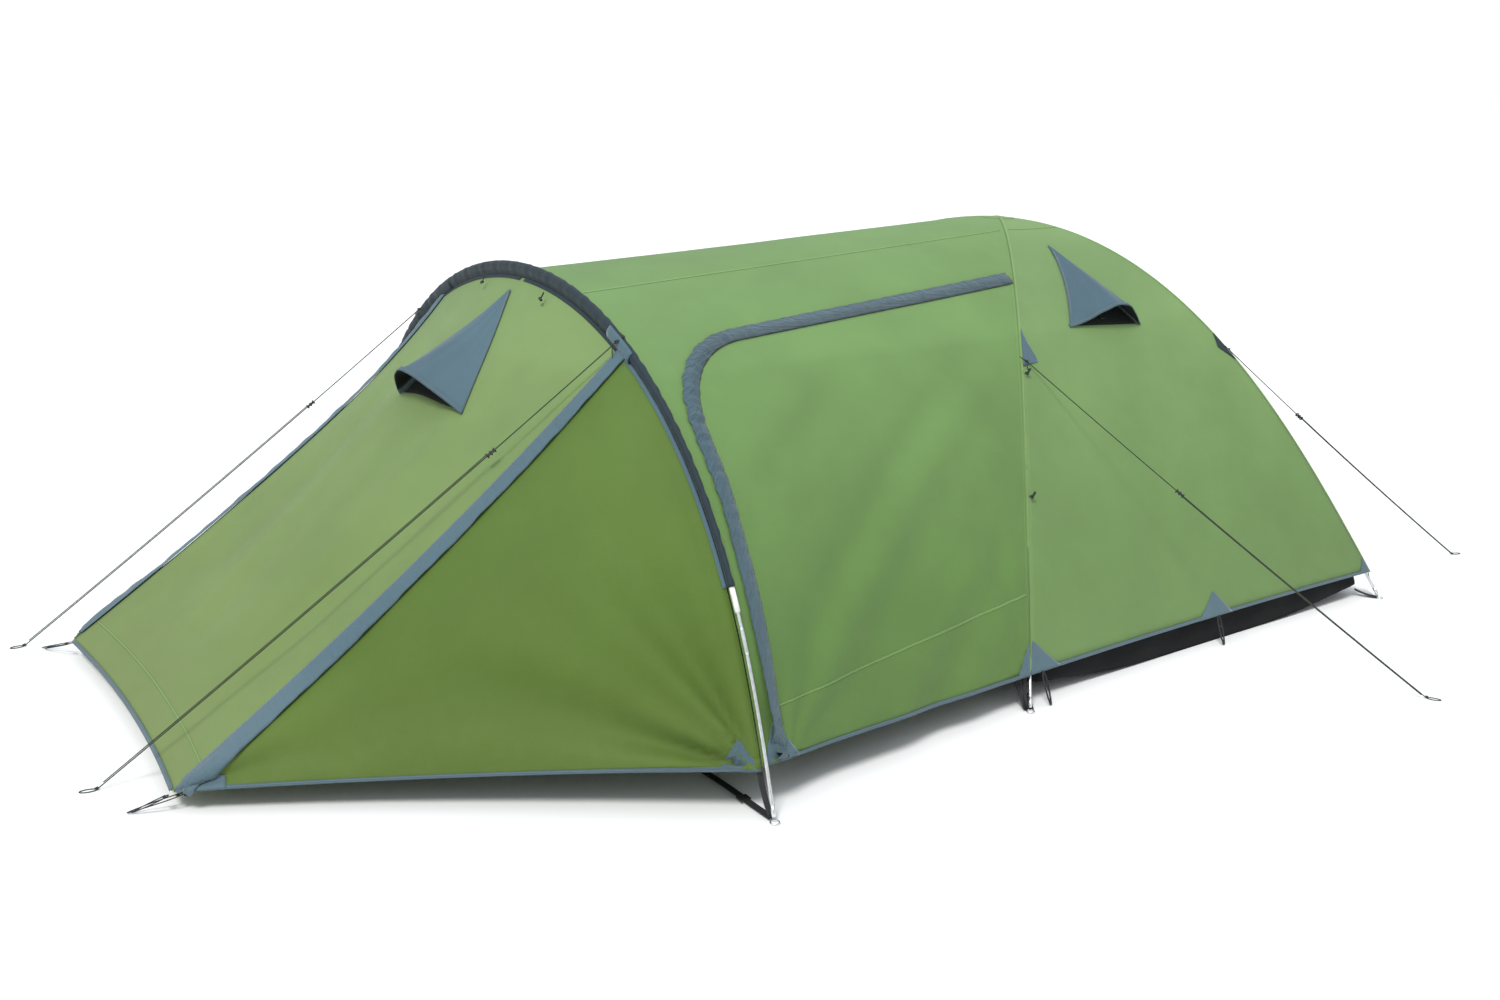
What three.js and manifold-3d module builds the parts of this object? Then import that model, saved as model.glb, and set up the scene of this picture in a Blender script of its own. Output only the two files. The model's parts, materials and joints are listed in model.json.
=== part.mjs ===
// Three-person dome tent with a long front vestibule, pitched and guyed out.
// Millimetres. +Z is up, +X points to the rear of the tent, -Y is the near side.
// The dome's two poles cross above X = 0 before the whole group is centred.

import * as THREE from 'three';
import { mergeVertices } from 'three/addons/utils/BufferGeometryUtils.js';
import Module from 'manifold-3d';

const wasm = await Module();
wasm.setup();

// ---- Driving dimensions ----
const APEX_Z = 1250;              // crossing of the two dome poles
const DOME_HALF_LENGTH = 900;     // pole feet from the crossing, along X
const FRONT_FOOT_Y = 1210;        // half width between the front dome feet
const REAR_FOOT_Y = 1130;         // half width between the rear dome feet
const POLE_R = 4.5;
const DOME_BEND = 0.76;           // end angle of the dome poles' bending curve, radians

const ARCH_X = -1910;
const ARCH_FOOT_Y = 1370;
const ARCH_Z = 1165;
const ARCH_LEAN = 30;             // the arch's top leans back by this much
const ARCH_BEND = 1.31;
const SLEEVE_R = 13;
const SLEEVE_END_T = 0.3;         // where the sleeve stops, 0 at the foot and 1 at the top

const FRONT_X = -3110;            // low front edge of the vestibule
const FRONT_HALF = 570;
const FRONT_Z = 50;
const ZIP_TOP_T = 0.7;            // where the front zips meet the arch

const SHEET = 3;                  // thickness of the stand-in for cloth
const SEAM = 5;                   // each panel stops this far from its seam
const FLY_OUT = 18;               // fly outside the dome poles, along the ground
const FLY_UP = 16;                // fly above the crossing
const HEM_T = 0.0475;             // hem height on the poles
const HEM_SAG = 26;               // how far a panel is pulled in at its middle
const INNER_IN = 75;              // inner tent inside the dome poles
const INNER_DOWN = 50;
const TUB_H = 120;
const GROUND = 2;                 // webbing lies this far above the ground plane

const DOOR_FRONT_U = 0.075;       // side door, across the tunnel from arch (0) to pole (1)
const DOOR_TOP_T = 0.672;
const DOOR_ROUND_U = 0.17;
const DOOR_ROUND_T = 0.16;
const FLAP_W = 46;                // storm flap over a zip
const FLAP_LIFT = 7;

// ---- Colours ----
const COLOURS = {
  fly: [0x7f9a58, 0.62, 0],
  wing: [0x6c8a42, 0.62, 0],
  trim: [0x5f6f7d, 0.7, 0],
  sleeve: [0x44505c, 0.75, 0],
  floor: [0x1c1d1f, 0.6, 0],
  inner: [0xb9bdb4, 0.85, 0],
  metal: [0xc4c8cc, 0.3, 0.9],
  black: [0x17181a, 0.6, 0],
  cord: [0x33382e, 0.8, 0],
};

const tent = new THREE.Group();
const cords = new THREE.Group();

function add(group, name, geometry, kind) {
  const [color, roughness, metalness] = COLOURS[kind];
  const material = new THREE.MeshStandardMaterial({ color, roughness, metalness });
  const mesh = new THREE.Mesh(geometry, material);
  mesh.name = name;
  group.add(mesh);
  return mesh;
}

// ---- Curves ----
const vec = (x, y, z) => new THREE.Vector3(x, y, z);
const mix = (a, b, k) => a.clone().lerp(b, k);

// Half of a bent rod: across(t) falls from 1 at the foot (t = 0) to 0 at the top (t = 1).
function rodShape(endAngle) {
  const m = Math.sin(endAngle / 2) ** 2;
  const steps = 240;
  const sums = [0];
  for (let i = 0; i < steps; i++) {
    const phi = ((i + 0.5) / steps) * (Math.PI / 2);
    const root = Math.sqrt(1 - m * Math.sin(phi) ** 2);
    sums.push(sums[i] + 2 * root - 1 / root);
  }
  return (t) => {
    const place = (1 - t) * steps;
    const i = Math.min(steps - 1, Math.max(0, Math.floor(place)));
    return (sums[i] + (sums[i + 1] - sums[i]) * (place - i)) / sums[steps];
  };
}
const domeShape = rodShape(DOME_BEND);
const archShape = rodShape(ARCH_BEND);
const rise = (t) => Math.sin((Math.PI / 2) * t);

// sx is -1 at the front feet and 1 at the rear feet; sy is -1 on the near side.
function domeLeg(sx, sy, t, out = 0, up = 0) {
  const foot = vec(sx * DOME_HALF_LENGTH, sy * (sx < 0 ? FRONT_FOOT_Y : REAR_FOOT_Y), 0);
  foot.setLength(foot.length() + out);
  return foot.multiplyScalar(domeShape(t)).setZ((APEX_Z + up) * rise(t));
}
function archLeg(sy, t, out = 0) {
  const z = rise(t);
  return vec(ARCH_X + ARCH_LEAN * z, sy * (ARCH_FOOT_Y + out) * archShape(t), (ARCH_Z + out) * z);
}
const flyLeg = (sx, sy, t) => domeLeg(sx, sy, t, FLY_OUT, FLY_UP);
const innerLeg = (sx, sy, t) => domeLeg(sx, sy, t, -INNER_IN, -INNER_DOWN);
const ARCH_UNDER = -(SLEEVE_R + 6);
const archSeam = (sy, t) => archLeg(sy, t, ARCH_UNDER);

// ---- Solids ----
// A thin closed solid over the grid point(i, j), 0..nu by 0..nv, thickened away from side.
function sheetSolid(point, nu, nv, thickness, side, include = () => true) {
  const grid = [];
  for (let i = 0; i <= nu; i++) {
    grid.push([]);
    for (let j = 0; j <= nv; j++) grid[i].push(point(i, j));
  }
  const normal = (i, j) => {
    const a = grid[Math.min(i + 1, nu)][j].clone().sub(grid[Math.max(i - 1, 0)][j]);
    const b = grid[i][Math.min(j + 1, nv)].clone().sub(grid[i][Math.max(j - 1, 0)]);
    return a.cross(b).normalize().multiplyScalar(side);
  };
  const positions = [];
  const index = [];
  const ids = new Map();
  const id = (i, j, layer) => {
    const key = `${i},${j},${layer}`;
    if (!ids.has(key)) {
      ids.set(key, positions.length / 3);
      const p = grid[i][j].clone();
      if (layer) p.addScaledVector(normal(i, j), -thickness);
      positions.push(p.x, p.y, p.z);
    }
    return ids.get(key);
  };
  const tri = (a, b, c) => (side > 0 ? index.push(a, b, c) : index.push(a, c, b));
  const inside = (i, j) => i >= 0 && j >= 0 && i < nu && j < nv && include(i, j);
  const wall = (i0, j0, i1, j1) => {
    tri(id(i0, j0, 0), id(i0, j0, 1), id(i1, j1, 1));
    tri(id(i0, j0, 0), id(i1, j1, 1), id(i1, j1, 0));
  };
  for (let i = 0; i < nu; i++) {
    for (let j = 0; j < nv; j++) {
      if (!inside(i, j)) continue;
      const [a, b, c, d] = [[i, j], [i + 1, j], [i + 1, j + 1], [i, j + 1]];
      tri(id(...a, 0), id(...b, 0), id(...c, 0));
      tri(id(...a, 0), id(...c, 0), id(...d, 0));
      tri(id(...a, 1), id(...c, 1), id(...b, 1));
      tri(id(...a, 1), id(...d, 1), id(...c, 1));
      if (!inside(i, j - 1)) wall(...a, ...b);
      if (!inside(i + 1, j)) wall(...b, ...c);
      if (!inside(i, j + 1)) wall(...c, ...d);
      if (!inside(i - 1, j)) wall(...d, ...a);
    }
  }
  const geometry = new THREE.BufferGeometry();
  geometry.setAttribute('position', new THREE.Float32BufferAttribute(positions, 3));
  geometry.setIndex(index);
  return geometry;
}

function circleShape(rx, ry, sides) {
  const shape = new THREE.Shape();
  for (let k = 0; k < sides; k++) {
    const a = (2 * Math.PI * (k + 0.5)) / sides;
    if (k === 0) shape.moveTo(rx * Math.cos(a), ry * Math.sin(a));
    else shape.lineTo(rx * Math.cos(a), ry * Math.sin(a));
  }
  shape.closePath();
  return shape;
}

function tubeAlong(points, radius, steps, sides = 8, hole = 0) {
  const shape = circleShape(radius, radius, sides);
  if (hole) shape.holes.push(circleShape(hole, hole, sides));
  const extrudePath = new THREE.CatmullRomCurve3(points);
  return new THREE.ExtrudeGeometry(shape, { steps, extrudePath, bevelEnabled: false });
}

const sample = (n, fn) => Array.from({ length: n + 1 }, (_, k) => fn(k / n));

// ---- Poles ----
const CROSSING = 5.2;             // half the offset between the pole centres where they cross
function domePole(sy, lift) {
  const along = (k) => {
    const t = 1 - Math.abs(2 * k - 1);
    const end = k < 0.5 ? [-1, sy] : [1, -sy];
    const p = domeLeg(...end, Math.max(t, 0.006));
    return p.setZ(p.z + lift * t ** 8);
  };
  return tubeAlong(sample(36, along), POLE_R, 36, 6);
}
add(tent, 'dome_pole_near_front', domePole(-1, CROSSING), 'metal');
add(tent, 'dome_pole_far_front', domePole(1, -CROSSING), 'metal');

const archAlong = (from, to, out = 0) => (k) => {
  const s = from + (to - from) * k;
  return s < 0 ? archLeg(-1, 1 + s, out) : archLeg(1, 1 - s, out);
};
const FERRULE_T = 0.28;
const FERRULE_LENGTH_T = 0.022;
const TIP_T = 0.008;
add(tent, 'arch_pole', tubeAlong(sample(36, archAlong(TIP_T - 1, 1 - TIP_T)), POLE_R, 36, 6), 'metal');
const sleeveHalf = 1 - SLEEVE_END_T;
add(tent, 'arch_sleeve',
  tubeAlong(sample(24, archAlong(-sleeveHalf, sleeveHalf)), SLEEVE_R, 24, 6, POLE_R + 2.4), 'sleeve');
for (const [sy, label] of [[-1, 'near'], [1, 'far']]) {
  const points = sample(3, (k) => archLeg(sy, FERRULE_T - FERRULE_LENGTH_T * k));
  add(tent, `arch_ferrule_${label}`, tubeAlong(points, POLE_R + 4, 3, 8, POLE_R + 2), 'inner');
}

// Disc of the clip that ties the inner peak to the crossing, under the lower pole.
const CLIP = { r: 24, h: 5, z: APEX_Z - CROSSING - POLE_R - 5.6 };
const clip = new THREE.CylinderGeometry(CLIP.r - 3, CLIP.r, CLIP.h, 16).rotateX(Math.PI / 2);
add(tent, 'crossing_clip', clip, 'black').position.set(0, 0, CLIP.z + CLIP.h / 2);

// ---- Feet: a webbing tab with a ring at each pole end ----
const FOOT = [['front_near', -1, -1], ['front_far', -1, 1], ['rear_near', 1, -1], ['rear_far', 1, 1]];
function footTab(corner, direction, width, length) {
  const across = vec(-direction.y, direction.x, 0);
  const point = (i, j) => {
    const k = i / 6;
    const half = width / 2 * (0.55 + 0.45 * k);
    return corner.clone().addScaledVector(direction, length * k)
      .addScaledVector(across, half * (j - 1)).setZ(GROUND + 3 + 22 * k * k);
  };
  return sheetSolid(point, 6, 2, 2.4, 1);
}
const TAB_GAP = 8;
for (const [label, sx, sy] of FOOT) {
  const foot = domeLeg(sx, sy, 0);
  const inward = foot.clone().negate().normalize();
  const start = foot.clone().addScaledVector(inward, TAB_GAP);
  add(tent, `foot_tab_${label}`, footTab(start, inward, 34, 78), 'black');
}
for (const [sy, label] of [[-1, 'near'], [1, 'far']]) {
  const foot = archLeg(sy, 0);
  const ring = new THREE.TorusGeometry(11, 2, 6, 14).translate(foot.x, foot.y, GROUND + 0.4);
  add(tent, `foot_ring_arch_${label}`, ring, 'metal');
}

// ---- Spreader strap between the arch feet, with its ladder buckle ----
const STRAP_W = 20;
const STRAP_END_Y = ARCH_FOOT_Y - 16;
function strapPoint(i, j) {
  const k = i / 10;
  return vec(ARCH_X + STRAP_W * (j - 0.5), STRAP_END_Y * (2 * k - 1), GROUND + 4);
}
add(tent, 'arch_strap', sheetSolid(strapPoint, 10, 1, 2, -1), 'black');
const BUCKLE = { y: -1235, w: 30, l: 26, h: 5 };
const buckle = new THREE.BoxGeometry(BUCKLE.w, BUCKLE.l, BUCKLE.h);
add(tent, 'strap_buckle', buckle.translate(ARCH_X, BUCKLE.y, GROUND + 4.6 + BUCKLE.h / 2), 'black');

// ---- Flysheet ----
const bulge = (k) => 4 * k * (1 - k);
// Panels between two dome legs; the pull is towards the inside of the tent.
function domePanel(legA, legB, pull, nu, nv) {
  const tTop = 0.955;
  return (i, j) => {
    const t = HEM_T + (tTop - HEM_T) * (j / nv);
    const a = legA(t);
    const b = legB(t);
    const edge = SEAM / a.distanceTo(b);
    const u = edge + (1 - 2 * edge) * (i / nu);
    const arc = 12 * bulge(i / nu) * (1 - j / nv) ** 6;
    return mix(a, b, u).addScaledVector(pull, bulge(u) * HEM_SAG * rise(1 - t)).add(vec(0, 0, arc));
  };
}
const DOME_NU = 8;
const DOME_NV = 12;
for (const [sy, label] of [[-1, 'near'], [1, 'far']]) {
  const panel = domePanel((t) => flyLeg(-1, sy, t), (t) => flyLeg(1, sy, t),
    vec(0, -sy * 0.85, -0.5), DOME_NU, DOME_NV);
  add(tent, `fly_side_${label}`, sheetSolid(panel, DOME_NU, DOME_NV, SHEET, -sy), 'fly');
}
const rearPanel = domePanel((t) => flyLeg(1, -1, t), (t) => flyLeg(1, 1, t),
  vec(-0.8, 0, -0.5), DOME_NU, DOME_NV);
add(tent, 'fly_rear', sheetSolid(rearPanel, DOME_NU, DOME_NV, SHEET, 1), 'fly');

// The tunnel between the arch and the front dome legs; u runs from the arch to the legs.
function tunnelPoint(sy, u, t) {
  const pull = vec(0, -sy * 0.8, -0.35).multiplyScalar(14 * bulge(u) * rise(Math.min(1, 2 * (1 - t))));
  return mix(archSeam(sy, t), flyLeg(-1, sy, t), u).add(pull);
}
// The tunnel's hem drops a little from the arch towards the dome.
const tunnelHem = (u) => 0.0665 - 0.0195 * u;
function doorTop(u) {
  const k = Math.min(1, Math.max(0, (DOOR_FRONT_U + DOOR_ROUND_U - u) / DOOR_ROUND_U));
  return DOOR_TOP_T - DOOR_ROUND_T * (1 - Math.sqrt(1 - k * k));
}
// Columns of the tunnel grid: the strip by the arch, the rounded corner, then the door's width.
const columnU = (i) => {
  if (i <= 1) return 0.0015 + (DOOR_FRONT_U - 0.0015) * i;
  const k = (i - 1) / 9;
  return DOOR_FRONT_U + (0.9965 - DOOR_FRONT_U) * k ** 1.5;
};
const TUNNEL_NU = 10;
const DOOR_ROWS = 8;
const ROOF_ROWS = 12;
const DOOR_GAP_T = 0.003;
function tunnelGrid(i, j) {
  const u = columnU(i);
  const top = doorTop(u) + DOOR_GAP_T;
  const half = DOOR_ROWS + ROOF_ROWS / 2;
  const sy = j <= half ? -1 : 1;
  const row = j <= half ? j : 2 * half - j;
  const t = row <= DOOR_ROWS
    ? tunnelHem(u) + (top - tunnelHem(u)) * (row / DOOR_ROWS)
    : top + (1 - top) * ((row - DOOR_ROWS) / (half - DOOR_ROWS));
  return tunnelPoint(sy, u, t);
}
const TUNNEL_NV = 2 * DOOR_ROWS + ROOF_ROWS;
const isFixed = (i, j) => i < 1 || (j >= DOOR_ROWS && j < DOOR_ROWS + ROOF_ROWS);
add(tent, 'fly_tunnel', sheetSolid(tunnelGrid, TUNNEL_NU, TUNNEL_NV, SHEET, 1, isFixed), 'fly');

// ---- Side doors with their storm flaps ----
const DOOR_EDGE_U = 0.004;
const DOOR_HINGE_U = 0.985;
for (const [sy, label] of [[-1, 'near'], [1, 'far']]) {
  const doorGrid = (i, j) => {
    const u = i === 0 ? DOOR_FRONT_U + DOOR_EDGE_U : Math.min(columnU(i + 1), DOOR_HINGE_U);
    const top = doorTop(i === 0 ? DOOR_FRONT_U : u) - DOOR_GAP_T;
    return tunnelPoint(sy, u, tunnelHem(u) + (top - tunnelHem(u)) * (j / DOOR_ROWS));
  };
  add(tent, `side_door_${label}`, sheetSolid(doorGrid, 9, DOOR_ROWS, SHEET, -sy), 'fly');

  // Boundary of the door as (u, t): up its front edge, round the corner and along the top.
  const CORNER_STEPS = 6;
  const boundary = [];
  const flapFoot = tunnelHem(DOOR_FRONT_U);
  for (let k = 0; k <= 6; k++) {
    boundary.push([DOOR_FRONT_U, flapFoot + (DOOR_TOP_T - DOOR_ROUND_T - flapFoot) * (k / 6)]);
  }
  for (let k = 1; k <= CORNER_STEPS; k++) {
    const a = (k / CORNER_STEPS) * (Math.PI / 2);
    boundary.push([DOOR_FRONT_U + DOOR_ROUND_U * (1 - Math.cos(a)),
      DOOR_TOP_T - DOOR_ROUND_T * (1 - Math.sin(a))]);
  }
  const topStart = DOOR_FRONT_U + DOOR_ROUND_U;
  for (let k = 1; k <= 6; k++) boundary.push([topStart + (0.97 - topStart) * (k / 6), DOOR_TOP_T]);
  const flapPoint = (i, j) => {
    const [u, t] = boundary[i];
    const p = tunnelPoint(sy, u, t);
    const du = tunnelPoint(sy, u + 0.01, t).sub(p).normalize();
    const dt = tunnelPoint(sy, u, t + 0.01).sub(p).normalize();
    const before = boundary[Math.max(i - 1, 0)];
    const after = boundary[Math.min(i + 1, boundary.length - 1)];
    const along = tunnelPoint(sy, ...after).sub(tunnelPoint(sy, ...before)).normalize();
    const out = du.cross(dt).normalize().multiplyScalar(-sy);
    const away = along.clone().cross(out).normalize().multiplyScalar(sy);
    return p.addScaledVector(out, FLAP_LIFT).addScaledVector(away, FLAP_W * (j / 2) - 3);
  };
  add(tent, `door_flap_${label}`, sheetSolid(flapPoint, boundary.length - 1, 2, 2, sy), 'trim');
}

// ---- Vestibule front: two wings and a front panel between the zips ----
const corner = (sy) => vec(FRONT_X, sy * FRONT_HALF, FRONT_Z);
const FRONT_PULL = vec(0.5, 0, -0.85);
const SEAM_SAG = 28;
const PANEL_SAG = 40;
const zipSeam = (sy, b) =>
  mix(archSeam(sy, ZIP_TOP_T), corner(sy), b).addScaledVector(FRONT_PULL, SEAM_SAG * bulge(b));
const WING_HEM_T = 0.062;
const ARCH_EDGE_B = 0.012;        // panels stop this far in front of the arch's seam

function wingPoint(sy, a, b) {
  const t = WING_HEM_T + (ZIP_TOP_T - WING_HEM_T) * a;
  const pull = vec(0.2, -sy * 0.6, -0.35).multiplyScalar(30 * bulge(b) * (1 - a));
  const sag = FRONT_PULL.clone().multiplyScalar(SEAM_SAG * bulge(b) * a);
  const arc = vec(0, 0, 14 * bulge(b) * (1 - a) ** 6);
  return mix(archSeam(sy, t), corner(sy), b).add(pull).add(sag).add(arc);
}
function frontPoint(u, b) {
  const s = Math.abs(u);
  const top = archSeam(u < 0 ? -1 : 1, 1 - (1 - ZIP_TOP_T) * s);
  const low = vec(FRONT_X, FRONT_HALF * u, FRONT_Z);
  const sag = PANEL_SAG + (SEAM_SAG - PANEL_SAG) * s ** 2;
  return mix(top, low, b).addScaledVector(FRONT_PULL, sag * bulge(b));
}
for (const [sy, label] of [[-1, 'near'], [1, 'far']]) {
  const wing = (i, j) => wingPoint(sy, 0.992 * (i / 8), ARCH_EDGE_B + (0.975 - ARCH_EDGE_B) * (j / 10));
  add(tent, `wing_${label}`, sheetSolid(wing, 8, 10, SHEET, sy), 'wing');
}
const panelGrid = (i, j) => {
  const b = 0.025 + (0.992 - 0.025) * (j / 10);
  const u = (i / 10) * 2 - 1;
  return frontPoint(u * (1 - 0.012), b);
};
add(tent, 'front_panel', sheetSolid(panelGrid, 10, 10, SHEET, -1), 'fly');

for (const [sy, label] of [[-1, 'near'], [1, 'far']]) {
  const flap = (i, j) => {
    const b = 0.035 + 0.9 * (i / 12);
    const span = wingPoint(sy, 1, b).distanceTo(wingPoint(sy, 0.9, b)) * 10;
    const a = 1 - (5 + (52 - 8 * b) * (j / 2)) / span;
    const p = wingPoint(sy, a, b);
    const up = wingPoint(sy, a + 0.02, b).sub(p);
    const along = wingPoint(sy, a, b + 0.02).sub(p);
    return p.addScaledVector(along.cross(up).normalize(), -sy * FLAP_LIFT);
  };
  add(tent, `zip_flap_${label}`, sheetSolid(flap, 12, 2, 2, sy), 'trim');
}

// ---- Vents: a raised hood with a folding prop under its lower edge ----
// The frame of a vent: its apex, the middle of its lower edge, and outward.
function vent(name, surface, apexAt, leftAt, rightAt, lift, outward) {
  const apex = surface(...apexAt);
  const left = surface(...leftAt);
  const right = surface(...rightAt);
  const out = left.clone().sub(apex).cross(right.clone().sub(apex)).normalize();
  if (out.dot(outward) < 0) out.negate();
  const hood = (i, j) => {
    const u = i / 8;
    const v = 0.06 + 0.94 * (j / 6);
    const base = mix(apex, mix(left, right, u), v);
    const ridge = Math.sin(Math.PI * u) ** 0.8;
    return base.addScaledVector(out, 9 + lift * ridge * v);
  };
  const facing = hood(5, 3).sub(hood(3, 3)).cross(hood(4, 5).sub(hood(4, 2))).dot(out) > 0 ? 1 : -1;
  add(tent, `vent_hood_${name}`, sheetSolid(hood, 8, 6, 2, facing), 'trim');
  const middle = mix(left, right, 0.5).lerp(apex, 0.12);
  const across = right.clone().sub(left).normalize();
  const down = out.clone().cross(across).normalize();
  const propLength = lift - 18;
  const prop = new THREE.BoxGeometry(18, 4, propLength).translate(0, 0, propLength / 2 + 9);
  prop.applyMatrix4(new THREE.Matrix4().makeBasis(across, down, out).setPosition(middle));
  add(tent, `vent_prop_${name}`, prop, 'black');
  return { middle, across };
}
const sideSurface = (sy) => (u, t) => mix(flyLeg(-1, sy, t), flyLeg(1, sy, t), u);
const VENT_LIFT = 78;
const SIDE_VENT = [[0.452, 0.79], [0.275, 0.553], [0.659, 0.542]];
vent('front', frontPoint, [0.032, 0.03], [0.262, 0.292], [-0.4, 0.272], VENT_LIFT, vec(-0.7, 0, 0.7));
vent('near', sideSurface(-1), ...SIDE_VENT, VENT_LIFT, vec(0, -0.8, 0.6));
vent('far', sideSurface(1), ...SIDE_VENT, VENT_LIFT, vec(0, 0.8, 0.6));

// Reinforcement cap over the fly's peak.
const CAP_R = 105;
const capDrop = (r) => 0.0006 * r * r;
const capRadii = [0, 35, 70, CAP_R];
const cap = new THREE.LatheGeometry(
  [...capRadii.map((r) => new THREE.Vector2(r, -capDrop(r))),
    ...[...capRadii].reverse().map((r) => new THREE.Vector2(r, -capDrop(r) - 3))].reverse(), 12);
add(tent, 'fly_peak', cap.rotateX(Math.PI / 2), 'fly').position.set(0, 0, APEX_Z + FLY_UP + 9);

// ---- Inner tent: floor tub, walls and door ----
const tubHalf = (x) => {
  const k = (x + DOME_HALF_LENGTH) / (2 * DOME_HALF_LENGTH);
  return FRONT_FOOT_Y + (REAR_FOOT_Y - FRONT_FOOT_Y) * k - 88;
};
const TUB_X = DOME_HALF_LENGTH - 62;
function toSolid(geometry) {
  geometry.deleteAttribute('normal');
  geometry.deleteAttribute('uv');
  const merged = mergeVertices(geometry, 1e-3);
  return new wasm.Manifold(new wasm.Mesh({
    numProp: 3,
    vertProperties: merged.attributes.position.array,
    triVerts: new Uint32Array(merged.index.array),
  }));
}
function toGeometry(solid) {
  const { vertProperties, triVerts } = solid.getMesh();
  const geometry = new THREE.BufferGeometry();
  geometry.setAttribute('position', new THREE.BufferAttribute(vertProperties, 3));
  geometry.setIndex(new THREE.BufferAttribute(triVerts, 1));
  return geometry;
}
// A four-sided block whose sides lean in by lean over its height.
function tubBlock(inset, z0, z1, lean) {
  const ring = (grow, z) => [[-1, -1], [1, -1], [1, 1], [-1, 1]].map(([sx, sy]) => {
    const x = sx * (TUB_X - inset);
    return [x - sx * grow, sy * (tubHalf(sx * TUB_X) - inset - grow), z];
  });
  const geometry = new THREE.BufferGeometry();
  const corners = [...ring(0, z0), ...ring(lean, z1)];
  geometry.setAttribute('position', new THREE.Float32BufferAttribute(corners.flat(), 3));
  const faces = [0, 2, 1, 0, 3, 2, 4, 5, 6, 4, 6, 7];
  for (let k = 0; k < 4; k++) {
    const n = (k + 1) % 4;
    faces.push(k, n, n + 4, k, n + 4, k + 4);
  }
  geometry.setIndex(faces);
  return toSolid(geometry);
}
const TUB_LEAN = 24;
const tub = tubBlock(0, 0, TUB_H, TUB_LEAN).subtract(tubBlock(SHEET, SHEET, TUB_H + 1, TUB_LEAN));
add(tent, 'floor_tub', toGeometry(tub), 'floor');

const INNER_T0 = 0.085;
const INNER_T1 = 0.93;
function innerPanel(legA, legB, nu, nv) {
  return (i, j) => {
    const t = INNER_T0 + (INNER_T1 - INNER_T0) * (j / nv);
    const a = legA(t);
    const b = legB(t);
    const edge = 9 / a.distanceTo(b);
    return mix(a, b, edge + (1 - 2 * edge) * (i / nu));
  };
}
const INNER_SIDES = [
  ['near', (t) => innerLeg(-1, -1, t), (t) => innerLeg(1, -1, t), 1],
  ['rear', (t) => innerLeg(1, -1, t), (t) => innerLeg(1, 1, t), 1],
  ['far', (t) => innerLeg(1, 1, t), (t) => innerLeg(-1, 1, t), 1],
];
for (const [label, a, b, side] of INNER_SIDES) {
  add(tent, `inner_wall_${label}`, sheetSolid(innerPanel(a, b, 6, 8), 6, 8, SHEET, side), 'inner');
}
const frontWall = innerPanel((t) => innerLeg(-1, 1, t), (t) => innerLeg(-1, -1, t), 10, 10);
const isDoorCell = (i, j) => i >= 2 && i < 8 && j >= 1 && j < 7;
add(tent, 'inner_wall_front',
  sheetSolid(frontWall, 10, 10, SHEET, 1, (i, j) => !isDoorCell(i, j)), 'inner');
const DOOR_INSET = 0.03;
const innerDoor = (i, j) => {
  const u = 2 + DOOR_INSET * 2 + (6 - DOOR_INSET * 4) * (i / 6);
  const v = 1 + DOOR_INSET * 2 + (6 - DOOR_INSET * 4) * (j / 6);
  return frontWall(u, v);
};
add(tent, 'inner_door', sheetSolid(innerDoor, 6, 6, SHEET, 1), 'inner');

// ---- Toggles: on the door's pole seam and at the top of the arch ----
function toggle(name, at, axis) {
  const body = new THREE.CylinderGeometry(4, 4, 28, 8);
  body.applyQuaternion(new THREE.Quaternion().setFromUnitVectors(vec(0, 1, 0), axis.normalize()));
  add(tent, name, body.translate(at.x, at.y, at.z), 'black');
}
for (const [sy, label] of [[-1, 'near'], [1, 'far']]) {
  [0.475, 0.28].forEach((t, k) => {
    const at = flyLeg(-1, sy, t).add(vec(12, sy * 14, 6));
    toggle(`door_toggle_${label}_${k + 1}`, at, vec(1, 0.4 * sy, 0.2));
  });
  toggle(`arch_toggle_${label}`, archLeg(sy, 0.9, -44).add(vec(-50, 0, 0)), vec(0, 0.3 * sy, 1));
}

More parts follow.
